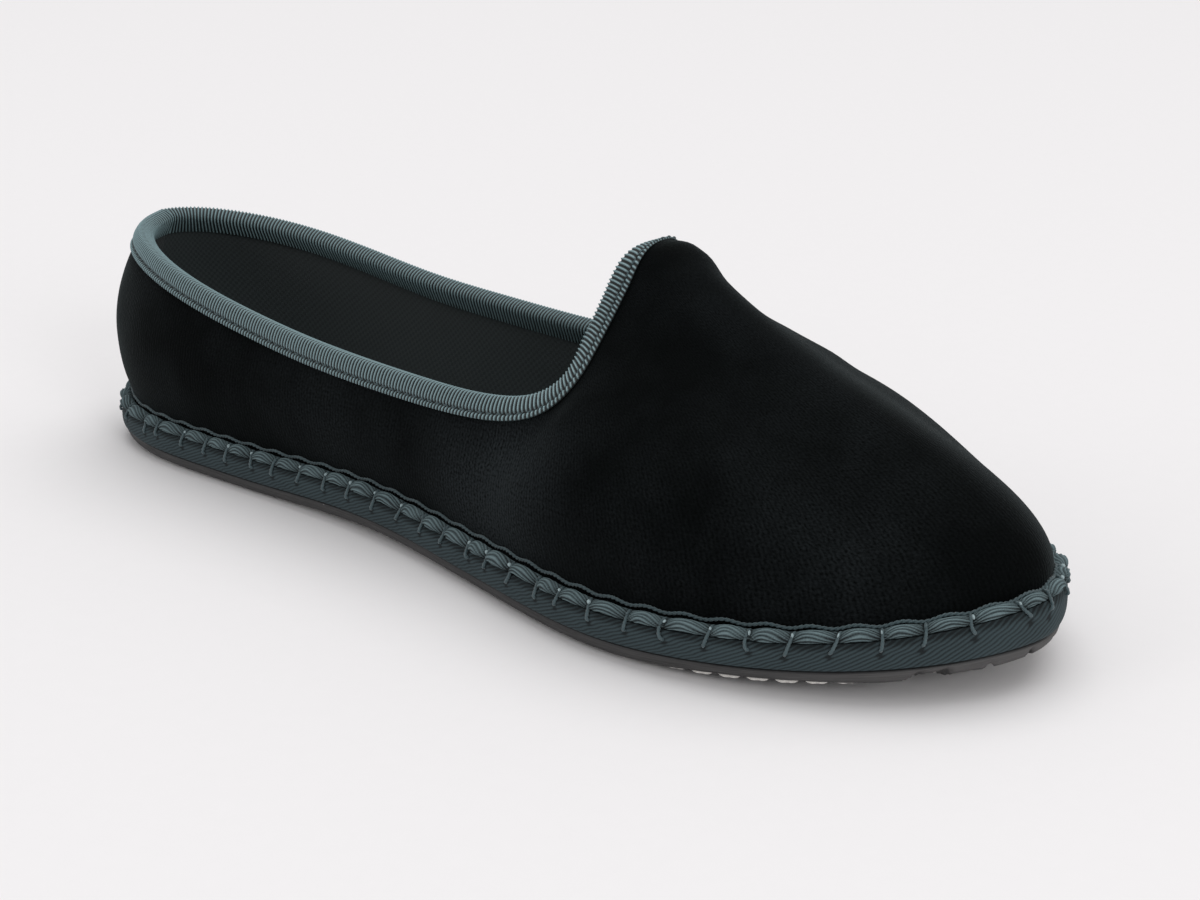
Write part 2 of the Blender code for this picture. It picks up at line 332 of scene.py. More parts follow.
def linear(code):
    """Linear RGB of an sRGB hex colour."""
    channels = np.array([int(code[i : i + 2], 16) for i in (0, 2, 4)]) / 255.0
    low = channels / 12.92
    high = ((channels + 0.055) / 1.055) ** 2.4
    return tuple(float(c) for c in np.where(channels <= 0.04045, low, high))


def length(name, text, mm):
    """A length that the user may change."""
    return bpy.props.FloatProperty(
        name=name, description=text, default=mm * MM, min=0.0, precision=5, subtype="DISTANCE", unit="LENGTH"
    )


def tint(name, text, code):
    """A colour that the user may change."""
    return bpy.props.FloatVectorProperty(
        name=name, description=text, default=linear(code), size=3, min=0.0, max=1.0, subtype="COLOR"
    )


class SlipperSizes(bpy.types.PropertyGroup):
    """Sizes of the sewn and woven details."""

    pucker_pitch: length("Pucker pitch", "Distance from one tack of the edge roll to the next", 8.1)
    pucker_height: length("Pucker height", "How far a pucker stands out between its tacks", 0.95)
    tack_thread: length("Tack thread", "Thickness of the thread that tacks the roll to the band", 0.64)
    twill_pitch: length("Twill pitch", "Distance from one diagonal line of the twill to the next", 0.8)
    twill_height: length("Twill height", "How far a diagonal line of the twill stands up", 0.08)
    rib_pitch: length("Rib pitch", "Distance from one rib of the binding to the next", 0.9)
    rib_height: length("Rib height", "How far a rib of the binding stands up", 0.3)
    stitch_pitch: length("Stitch pitch", "Distance from one stitch of the sole to the next", 5.4)
    stitch_length: length("Stitch length", "Length of a stitch of the sole that shows", 4.4)
    sole_thread: length("Sole thread", "Thickness of the thread that sews the sole", 0.95)
    groove_depth: length("Groove depth", "Depth of the two notched grooves beside the centre rib", 1.2)
    lens: bpy.props.FloatProperty(
        name="Lens",
        description="Focal length of the camera",
        default=0.0635,
        unit="CAMERA",
        subtype="DISTANCE_CAMERA",
    )


class SlipperColours(bpy.types.PropertyGroup):
    """Colours of the materials."""

    velvet: tint("Velvet", "Velvet seen straight down its pile", "030404")
    # Velvet nap: the lighter colour of brushed pile, a painted sheen of the light that the pile catches
    velvet_nap_sheen: tint("Velvet nap", "Velvet where it is brushed against its pile", "24282a")
    velvet_sheen: tint("Velvet sheen", "Light that the tips of the pile catch", "8a9698")
    twill: tint("Twill", "Raised lines of the twill", "384549")
    # Twill valley: painted shade between the raised lines of the twill
    twill_valley_shade: tint("Twill valley", "Twill between its raised lines", "171d1f")
    # Edge roll: strand colour, reached as painted highlight on the strands' crests and the puckers' crowns;
    # its valley colour is painted shade
    roll: tint("Edge roll", "Stretched threads of the edge roll", "697b7f")
    roll_valley_shade: tint("Edge roll valley", "Edge roll between its threads", "0d1315")
    tape: tint("Binding", "Ribs of the binding", "90abb0")
    # Binding valley: painted shade in the gaps between the ribs
    tape_valley_shade: tint("Binding valley", "Binding between its ribs", "05090a")
    rubber: tint("Rubber", "Moulded face of the rubber", "1d1d1e")
    rubber_worn: tint("Worn rubber", "Rubber where it is dusty or rubbed", "303031")
    rubber_dust: tint("Dust", "Pale specks of dust pressed into the rubber", "8a8987")
    rubber_cut: tint("Cut rubber", "Side of the rubber where the knife went", "545353")
    white_thread: tint("White thread", "Waxed thread of the sole", "e9e6e1")
    teal_thread: tint("Teal thread", "Thread of the edge and the binding", "415459")
    # Knot: wax on the knots, painted pale as a glint
    knot: tint("Knot", "Wax on the knots of the edge thread", "a3b7bb")
    lining: tint("Lining", "Cotton inside the shoe", "3a4142")
    floor: tint("Floor", "Plain floor under the shoe", "eceaeb")


def mirrored(knots, values, odd):
    """The table carried on past both centre-line ends as the other half of the shoe."""
    sign = np.where(odd, -1.0, 1.0)
    knots = np.concatenate([-knots[:0:-1], knots, 2 * knots[-1] - knots[-2::-1]])
    values = np.concatenate([values[:0:-1] * sign, values, values[-2::-1] * sign])
    return knots, values


def smooth_curve(knots, values):
    """A function that runs through the rows of values with continuous curvature."""
    step = np.diff(knots)
    count = len(knots)
    matrix = np.eye(count)
    right = np.zeros_like(values)
    for i in range(1, count - 1):
        matrix[i, i - 1 : i + 2] = step[i - 1], 2 * (step[i - 1] + step[i]), step[i]
        right[i] = 6 * ((values[i + 1] - values[i]) / step[i] - (values[i] - values[i - 1]) / step[i - 1])
    bend = np.linalg.solve(matrix, right)

    def curve(at):
        i = np.clip(np.searchsorted(knots, at) - 1, 0, count - 2)
        h = step[i][..., None]
        b = ((at - knots[i]) / step[i])[..., None]
        a = 1 - b
        straight = a * values[i] + b * values[i + 1]
        return straight + ((a**3 - a) * bend[i] + (b**3 - b) * bend[i + 1]) * h**2 / 6

    return curve


def chords(points):
    """Length of the way along the points, at each of them."""
    return np.concatenate([[0.0], np.cumsum(np.linalg.norm(np.diff(points, axis=0), axis=1))])


SCALE_X = LENGTH / (LAST["length"] * MM)
SCALE_Y = BALL_WIDTH / (2 * LAST["ball_half"] * MM)
HALF = np.array(OUTLINE) * MM * (SCALE_X, SCALE_Y)
OUTLINE_CURVE = smooth_curve(*mirrored(chords(HALF) / chords(HALF)[-1], HALF, (False, True)))


def rib_curve():
    """The ribs as a function of the way round the shoe."""
    table = np.array(RIBS)
    rows = table[:, 1:] * MM
    rows[:, 2::3] *= SCALE_X
    rows[:, 3::3] *= SCALE_Y
    odd = [False, False] + [False, True, False] * 4
    return smooth_curve(*mirrored(table[:, 0], rows, odd))


RIB_CURVE = rib_curve()


def outline(along, inset):
    """Plan point on the sole's outline moved in by the inset, and the unit normal that points out.

    along runs from -1 at the heel up the right side to 0 at the toe and down the left side to 1."""
    ahead = OUTLINE_CURVE(along + OUTLINE_STEP) - OUTLINE_CURVE(along - OUTLINE_STEP)
    out = np.stack([ahead[..., 1], -ahead[..., 0]], -1)
    out /= np.linalg.norm(out, axis=-1, keepdims=True)
    return OUTLINE_CURVE(along) - out * np.asarray(inset)[..., None], out


def ramp(x, start, end):
    """Straight rise from 0 at the start to 1 at the end."""
    return np.clip((x - start) / (end - start), 0.0, 1.0)


def ease(x, start, end):
    """Smooth step from 0 at the start to 1 at the end."""
    r = ramp(x, start, end)
    return r * r * (3 - 2 * r)


def between(x, start, full, fall, end):
    """Smooth rise from 0 at the start to 1 at full, and back to 0 from the fall to the end."""
    return ease(x, start, full) * (1 - ease(x, fall, end))


def lift(x):
    """Height of the sole's underside over the floor: arch at the waist and spring at the toe."""
    arch = ARCH_LIFT * np.sin(np.pi * ramp(x, HEEL_FLAT_END, ARCH_END)) ** 2
    return arch + TOE_SPRING * ramp(x, SPRING_START, LENGTH) ** 2


def thickening(x):
    """How much thicker the sole is towards the toe."""
    return TOE_THICKENING * ramp(x, THICKENING_START, LENGTH) ** 2


def layer(along, inset, height, grow=0.0):
    """Points of a sole layer. grow = share of the toe's thickening that they take."""
    along, inset, height = np.broadcast_arrays(along, inset, height)
    plan, _ = outline(along, inset)
    z = height + lift(plan[..., 0]) + thickening(plan[..., 0]) * grow
    return np.concatenate([plan, z[..., None]], -1)


def wall(along, t):
    """Point on the outside of the upper, t = 0 at the sole and 1 at the topline."""
    along, t = np.broadcast_arrays(along, t)
    row = RIB_CURVE(along)
    plan, out = outline(along, UPPER_INSET)
    z = DECK + lift(plan[..., 0]) + thickening(plan[..., 0])
    foot = np.concatenate([plan, z[..., None]], -1)
    first = foot + np.concatenate([out * row[..., :1], row[..., 1:2]], -1)
    t = t[..., None]
    s = 1 - t
    return (
        s**5 * foot
        + 5 * s**4 * t * first
        + 10 * s**3 * t**2 * row[..., 2:5]
        + 10 * s**2 * t**3 * row[..., 5:8]
        + 5 * s * t**4 * row[..., 8:11]
        + t**5 * row[..., 11:14]
    )


def unit(vectors):
    return vectors / np.linalg.norm(vectors, axis=-1, keepdims=True)


def wall_normal(along, t):
    """Unit normal of the upper, pointing out."""
    round_shoe = wall(along + WALL_STEP, t) - wall(along - WALL_STEP, t)
    rise = wall(along, t + WALL_STEP) - wall(along, t - WALL_STEP)
    return unit(np.cross(round_shoe, rise))


def even(curve, count, start=-1.0, end=1.0):
    """Shares at even steps of length along a curve, with both ends, and the curve's length."""
    dense = np.linspace(start, end, DENSE)
    way = chords(curve(dense))
    return np.interp(np.linspace(0.0, way[-1], count + 1), way, dense), way[-1]


def paced(curve, pitch, steps):
    """Shares at even steps round the shoe, this many to a pitch, the curve's length and its pitches."""
    way = even(curve, 1)[1]
    count = int(round(way / pitch))
    return even(curve, count * steps)[0], way, count


def sole_edge(along):
    return outline(along, 0.0)[0]


def topline(along):
    return wall(along, 1.0)


def laid(grid, way):
    """Place of each point of a grid in its cloth: the way round the shoe and the way down its column."""
    s = np.linspace(0.0, way, grid.shape[1])
    down = np.cumsum(np.linalg.norm(np.diff(grid, axis=0, prepend=grid[:1]), axis=2), axis=0)
    return np.stack(np.broadcast_arrays(s, down), -1)


def nearest(points):
    """Search tree of points in space or in plan."""
    tree = KDTree(len(points))
    for i, point in enumerate(points):
        tree.insert((*point, 0.0)[:3], i)
    tree.balance()
    return tree


def at_peak(along):
    """1 at the peak of the topline, where the binding is all but turned in, and 0 along its sides."""
    return between(along, -0.17, 0.02, 0.06, 0.22)


def tape_low(along):
    """The t at the binding's lower edge, a tape's width down each rib from the topline."""
    width = BINDING_WIDTH + (BINDING_WIDTH_AT_PEAK - BINDING_WIDTH) * at_peak(along)
    t = np.linspace(0.4, 1.0, 121)
    grid = wall(along[:, None], t[None])
    left = np.linalg.norm(np.diff(grid, axis=1), axis=2)[:, ::-1].cumsum(1)
    return np.array([np.interp(w, row, t[-2::-1]) for w, row in zip(width, left)])


def put(name, data):
    """A new object in the scene."""
    made = bpy.data.objects.new(name, data)
    bpy.context.scene.collection.objects.link(made)
    return made


def sew(name, grids, materials, sharp=40.0):
    """One piece from grids of points, joined where their edges meet.

    Each grid is (points, place in the cloth or None, index of its material)."""
    points, faces, places, finish = [], [], [], []
    first = 0
    for grid, cloth, slot in grids:
        rows, columns = grid.shape[:2]
        index = np.arange(rows * columns).reshape(rows, columns)
        corners = (index[:-1, :-1], index[:-1, 1:], index[1:, 1:], index[1:, :-1])
        quads = np.stack(corners, -1).reshape(-1, 4)
        cloth = grid[..., :2] if cloth is None else cloth
        points.append(grid.reshape(-1, 3))
        places.append(cloth.reshape(-1, 2)[quads].reshape(-1, 2))
        finish.append(np.full(len(quads), slot))
        faces.append(quads + first)
        first += rows * columns
    mesh = bpy.data.meshes.new(name)
    moved = np.concatenate(points) - TO_MIDDLE
    mesh.from_pydata(moved.tolist(), [], np.concatenate(faces).tolist())
    for material in materials:
        mesh.materials.append(material)
    mesh.polygons.foreach_set("material_index", np.concatenate(finish).astype(np.int32))
    cloth_map = mesh.uv_layers.new(name="cloth")
    cloth_map.uv.foreach_set("vector", np.concatenate(places).astype(np.float32).ravel())
    work = bmesh.new()
    work.from_mesh(mesh)
    bmesh.ops.remove_doubles(work, verts=work.verts, dist=WELD)
    bmesh.ops.recalc_face_normals(work, faces=work.faces)
    work.to_mesh(mesh)
    work.free()
    mesh.shade_smooth()
    mesh.set_sharp_from_angle(angle=np.radians(sharp))
    piece = put(name, mesh)
    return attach(piece, "root")


def thread(path, away, radius, sides=8, lobes=0.0, twist=0.0):
    """Grid of a thread along a path. away points from the cloth under it; lobes and twist give its plies."""
    forward = unit(np.gradient(path, axis=0))
    across = unit(np.cross(np.broadcast_to(away, path.shape), forward))
    up = np.cross(forward, across)
    turn = np.linspace(0.0, 2 * np.pi, sides + 1)
    spin = (chords(path) * twist)[:, None]
    around = np.broadcast_to(radius, path.shape[:1])[:, None] * (1 + lobes * np.cos(2 * (turn[None] - spin)))
    ring = np.cos(turn)[:, None] * across[:, None] + np.sin(turn)[:, None] * up[:, None]
    return path[:, None] + around[..., None] * ring


def node(tree, kind, links=None, **settings):
    """Adds a node with its settings and its sockets' values or links. A node links by its first output."""
    made = tree.nodes.new("ShaderNode" + kind)
    for name, value in settings.items():
        setattr(made, name, value)
    for socket, value in (links or {}).items():
        if isinstance(value, bpy.types.Node):
            value = value.outputs[0]
        if isinstance(value, bpy.types.NodeSocket):
            tree.links.new(value, made.inputs[socket])
        else:
            made.inputs[socket].default_value = value
    return made


def finish_of(name, **sockets):
    """A new material, its tree and its shader with these constant values."""
    made = bpy.data.materials.new(name)
    made.use_nodes = True
    shader = made.node_tree.nodes["Principled BSDF"]
    for socket, value in sockets.items():
        shader.inputs[socket.replace("_", " ")].default_value = value
    return made, made.node_tree, shader


def surface(tree, shader, share, low, high, height, strength, distance):
    """Gives a shader its colour, from low to high by a share, and its relief. Returns both nodes."""
    colours = {"Factor": share, MIX_LOW: (*low, 1.0), MIX_HIGH: (*high, 1.0)}
    blend = node(tree, "Mix", colours, data_type="RGBA")
    relief = node(tree, "Bump", {"Height": height, "Strength": strength, "Distance": distance})
    tree.links.new(blend.outputs[MIXED], shader.inputs["Base Color"])
    tree.links.new(relief.outputs[0], shader.inputs["Normal"])
    return blend, relief


def darker(colour, share):
    return tuple(share * c for c in colour)


def velvet(colours):
    """Short-pile cotton velvet: the pile swallows light seen straight on and its tips shine at a slant."""
    made, tree, shader = finish_of(
        "cotton_velvet",
        Roughness=0.92,
        Specular_IOR_Level=0.03,
        Sheen_Weight=0.26,
        Sheen_Roughness=0.3,
        Sheen_Tint=(*colours.velvet_sheen, 1.0),
    )
    place = node(tree, "TexCoord").outputs["Object"]
    cloth = node(tree, "UVMap", uv_map="cloth")
    # Brushed patches of the nap are about 22 mm across: with the brushed zones they paint the base colour
    # lighter, a painted sheen of the pile
    nap_sheen = node(tree, "TexNoise", {"Vector": place, "Scale": 1 / 0.022, "Detail": 3.0, "Roughness": 0.6})
    patches = node(tree, "MapRange", {"Value": nap_sheen, "From Min": 0.38, "From Max": 0.68})
    brushed_sheen = node(tree, "Attribute", attribute_name="brushed_sheen").outputs["Fac"]
    some = node(tree, "Math", {0: brushed_sheen, 1: 0.08}, operation="ADD")
    lit = node(tree, "Math", {0: patches, 1: 0.28, 2: some}, operation="MULTIPLY_ADD")
    # Tufts are about 0.25 mm and drawn at 0.55 mm so that they show
    tufts = node(tree, "TexNoise", {"Vector": cloth, "Scale": 1 / 0.00055, "Detail": 2.0})
    clear = node(tree, "MapRange", {"Value": tufts, "From Min": 0.3, "From Max": 0.7})
    # Rows of the ground weave lie 0.9 mm apart
    weave = {"Vector": cloth, "Scale": WAVE / 0.0009, "Distortion": 4.5, "Detail": 2.0, "Detail Scale": 2.5}
    rows = node(tree, "TexWave", weave, bands_direction="X").outputs["Fac"]
    grain = node(tree, "Math", {0: rows, 1: 0.4, 2: clear}, operation="MULTIPLY_ADD")
    mixed = node(tree, "Math", {0: lit, 1: grain}, operation="MULTIPLY")
    share = node(tree, "MapRange", {"Value": mixed, "From Min": 0.0, "From Max": 1.2})
    _, pile = surface(tree, shader, share, colours.velvet, colours.velvet_nap_sheen, tufts, 0.35, 0.0003)
    ground = node(tree, "Bump", {"Height": rows, "Strength": 0.14, "Distance": 0.0003, "Normal": pile})
    tree.links.new(ground.outputs[0], shader.inputs["Normal"])
    return made


def twill(name, colour, valley):
    """Cotton twill: raised lines of thread with painted shade between them, dull with a little fuzz."""
    made, tree, shader = finish_of(
        name,
        Roughness=0.85,
        Specular_IOR_Level=0.25,
        Sheen_Weight=0.25,
        Sheen_Roughness=0.5,
        Sheen_Tint=(*colour, 1.0),
    )
    cloth = node(tree, "UVMap", uv_map="cloth")
    # The ridge attribute carries ridge height and painted shade: darker in valleys, tack dents and under the
    # roll, lighter on the roll's crowns
    ridge_and_shade = node(tree, "Attribute", attribute_name="ridge_and_shade").outputs["Fac"]
    # Single threads are about 0.3 mm
    yarn = node(tree, "TexNoise", {"Vector": cloth, "Scale": 1 / 0.0003, "Detail": 2.0})
    lines = node(tree, "Math", {0: yarn, 1: 0.5, 2: ridge_and_shade}, operation="MULTIPLY_ADD")
    # Dye takes unevenly over about 12 mm
    dye = node(tree, "TexNoise", {"Vector": cloth, "Scale": 1 / 0.012, "Detail": 2.0})
    shade = node(tree, "Math", {0: dye, 1: 0.4, 2: lines}, operation="MULTIPLY_ADD")
    share = node(tree, "MapRange", {"Value": shade, "From Min": 0.35, "From Max": 1.4})
    # Colour runs from the painted shade of the valley to the colour of the raised lines
    surface(tree, shader, share, valley, colour, yarn, 0.35, 0.0002)
    return made


def grosgrain(colours):
    """Grosgrain tape: close ribs across the tape that catch the light, with painted shade in the gaps between
    them.
    """
    made, tree, shader = finish_of(
        "cotton_grosgrain",
        Roughness=0.62,
        Specular_IOR_Level=0.4,
        Sheen_Weight=0.3,
        Sheen_Roughness=0.4,
        Sheen_Tint=(*colours.tape, 1.0),
    )
    cloth = node(tree, "UVMap", uv_map="cloth")
    # The ridge attribute is the rib height, which paints the gaps between ribs as shade
    ridge_and_shade = node(tree, "Attribute", attribute_name="ridge_and_shade").outputs["Fac"]
    # Warp threads over the ribs are about 0.25 mm
    yarn = node(tree, "TexNoise", {"Vector": cloth, "Scale": 1 / 0.00025, "Detail": 2.0})
    shade = node(tree, "Math", {0: yarn, 1: 0.35, 2: ridge_and_shade}, operation="MULTIPLY_ADD")
    share = node(tree, "MapRange", {"Value": shade, "From Min": 0.3, "From Max": 1.25})
    surface(tree, shader, share, colours.tape_valley_shade, colours.tape, yarn, 0.3, 0.00015)
    return made


def moulded_rubber(colours):
    """Moulded tyre rubber: charcoal, satin where pressed smooth and paler where dust and rubbing dull it."""
    made, tree, shader = finish_of("moulded_rubber", IOR=1.52, Specular_IOR_Level=0.5)
    place = node(tree, "TexCoord").outputs["Object"]
    # Rubbed patches are about 9 mm across, and the grit in the face about 0.4 mm
    worn = node(tree, "TexNoise", {"Vector": place, "Scale": 1 / 0.009, "Detail": 5.0, "Roughness": 0.65})
    grit = node(tree, "TexNoise", {"Vector": place, "Scale": 1 / 0.0004, "Detail": 2.0})
    share = node(tree, "MapRange", {"Value": worn, "From Min": 0.42, "From Max": 0.72})
    face, _ = surface(tree, shader, share, colours.rubber, colours.rubber_worn, grit, 0.25, 0.0002)
    # Specks of dust are about 0.5 mm across and 4 mm apart
    dust = node(tree, "TexVoronoi", {"Vector": place, "Scale": 1 / 0.004})
    specks = node(tree, "MapRange", {"Value": dust, "From Min": 0.09, "From Max": 0.05, "To Max": 0.8})
    dusted = {"Factor": specks, MIX_LOW: face.outputs[MIXED], MIX_HIGH: (*colours.rubber_dust, 1.0)}
    dusty = node(tree, "Mix", dusted, data_type="RGBA")
    tree.links.new(dusty.outputs[MIXED], shader.inputs["Base Color"])
    dull = node(tree, "MapRange", {"Value": worn, "To Min": 0.36, "To Max": 0.62})
    tree.links.new(dull.outputs[0], shader.inputs["Roughness"])
    return made


def cut_rubber(colours):
    """Knife-cut rubber edge: grey and dry, with fine lines drawn along it by the blade."""
    made, tree, shader = finish_of("cut_rubber", Roughness=0.78, IOR=1.52, Specular_IOR_Level=0.3)
    place = node(tree, "TexCoord").outputs["Object"]
    cloth = node(tree, "UVMap", uv_map="cloth")
    # Blade lines are about 0.3 mm apart and run for about 8 mm
    drawn = node(tree, "Mapping", {"Vector": cloth, "Scale": (1 / 0.008, 1 / 0.0003, 1.0)})
    lines = node(tree, "TexNoise", {"Vector": drawn, "Scale": 1.0, "Detail": 3.0})
    # The last 35 mm of the toe are painted paler, a painted highlight of the light on the toe end
    ahead = node(tree, "SeparateXYZ", {"Vector": place}).outputs["X"]
    toe_highlight = node(tree, "MapRange", {"Value": ahead, "From Min": 0.085, "From Max": 0.12, "To Max": 0.4})
    share = node(tree, "Math", {0: lines, 1: toe_highlight}, operation="ADD", use_clamp=True)
    surface(tree, shader, share, colours.rubber, colours.rubber_cut, lines, 0.4, 0.0002)
    return made


def sewing_thread(name, colour, roughness):
    """Waxed sewing thread: two plies with fine fibres, a soft shine on its crown."""
    made, tree, shader = finish_of(
        name,
        Roughness=roughness,
        Specular_IOR_Level=0.4,
        Sheen_Weight=0.2,
        Sheen_Roughness=0.5,
    )
    place = node(tree, "TexCoord").outputs["Object"]
    # Fibres are far finer than a pixel and drawn at 0.2 mm
    fibre = node(tree, "TexNoise", {"Vector": place, "Scale": 1 / 0.0002, "Detail": 2.0})
    surface(tree, shader, fibre, darker(colour, 0.62), colour, fibre, 0.3, 0.0001)
    return made


def plain_weave(colours):
    """Plain-weave cotton lining: small over-and-under checks, matt."""
    made, tree, shader = finish_of("plain_cotton", Roughness=0.9, Specular_IOR_Level=0.2, Sheen_Weight=0.15)
    cloth = node(tree, "UVMap", uv_map="cloth")
    # Threads are about 0.5 mm and drawn at 0.8 mm so that they show
    checks = node(tree, "TexChecker", {"Vector": cloth, "Scale": 1 / 0.0008}).outputs["Fac"]
    soft = node(tree, "TexNoise", {"Vector": cloth, "Scale": 1 / 0.0004, "Detail": 2.0})
    height = node(tree, "Math", {0: soft, 1: checks}, operation="ADD")
    # Wear shows in patches of about 15 mm
    wear = node(tree, "TexNoise", {"Vector": cloth, "Scale": 1 / 0.015, "Detail": 3.0})
    shade = node(tree, "Math", {0: wear, 1: 0.6, 2: height}, operation="MULTIPLY_ADD")
    share = node(tree, "MapRange", {"Value": shade, "From Min": 0.3, "From Max": 2.2})
    surface(tree, shader, share, darker(colours.lining, 0.55), colours.lining, height, 0.3, 0.0002)
    return made


def keep(piece, name, grid, values):
    """Keeps a value of each grid point on the piece for its material, such as its height in the weave."""
    tree = nearest(grid.reshape(-1, 3) - TO_MIDDLE)
    values = values.ravel()
    store = piece.data.attributes.new(name, "FLOAT", "POINT")
    found = np.array([values[tree.find(vertex.co)[1]] for vertex in piece.data.vertices])
    store.data.foreach_set("value", found.astype(np.float32))


class Maker:
    """What the operators share: each makes its pieces from the scene's sizes and colours."""

    def execute(self, context):
        self.make(context.scene.slipper_sizes, context.scene.slipper_colours)
        return {"FINISHED"}


class SLIPPER_OT_upper(Maker, bpy.types.Operator):
    """Make the velvet upper with its soft folds and its cotton lining"""

    bl_idname = "slipper.upper"
    bl_label = "Velvet upper"

    COLUMNS = 440
    ROWS = 72
    LINING_ROWS = 36
    # Height on the wall at which the columns are evenly spaced
    EVEN_AT = 0.3

    def make(self, sizes, colours):
        along, way = even(lambda a: wall(a, self.EVEN_AT), self.COLUMNS)
        t = np.linspace(0.0, 1.0, self.ROWS + 1)[:, None]
        outside = wall(along, t)
        low = tape_low(along)
        fade = 0.14 - 0.08 * at_peak(along)
        relief = self.folds(outside) * between(t, 0.02, 0.14, low - fade, low)
        brushed_sheen = self.brushed_sheen(outside)
        outside = outside + wall_normal(along, t) * relief[..., None]
        t = np.linspace(1.0, 0.0, self.LINING_ROWS + 1)[:, None]
        inside = wall(along, t) - wall_normal(along, t) * UPPER_WALL
        inside[-1, :, 2] = outside[0, :, 2]
        grids = [
            (outside, laid(outside, way), 0),
            (np.stack([outside[-1], inside[0]]), None, 0),
            (inside, laid(inside, way), 1),
            (np.stack([inside[-1], outside[0]]), None, 1),
        ]
        piece = sew("velvet_upper", grids, [velvet(colours), plain_weave(colours)])
        keep(piece, "brushed_sheen", outside, brushed_sheen)
        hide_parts("upper")

    @staticmethod
    def brushed_sheen(points):
        """Share of brushed pile at these points of the wall, where the velvet's colour is painted lighter as
        sheen.
        """
        share = np.zeros(points.shape[:2])
        for along, t, reach, much in BRUSHED_SHEEN:
            off = np.linalg.norm(points - wall(along, t), axis=-1)
            share += much * np.exp(-((off / (reach * MM)) ** 2))
        return share

    @staticmethod
    def folds(points):
        """Height of the soft troughs and ridges at these points of the wall."""
        relief = np.zeros(points.shape[:2])
        for along, t, to_along, to_t, width, depth in CREASES:
            ends = wall([along, to_along], [t, to_t])
            line = ends[1] - ends[0]
            share = np.clip(((points - ends[0]) @ line) / (line @ line), -0.3, 1.3)
            off = np.linalg.norm(points - ends[0] - share[..., None] * line, axis=-1)
            fade = between(share, -0.1, 0.3, 0.7, 1.1)
            relief += depth * MM * fade * np.exp(-((off / (width * MM)) ** 2))
        return relief


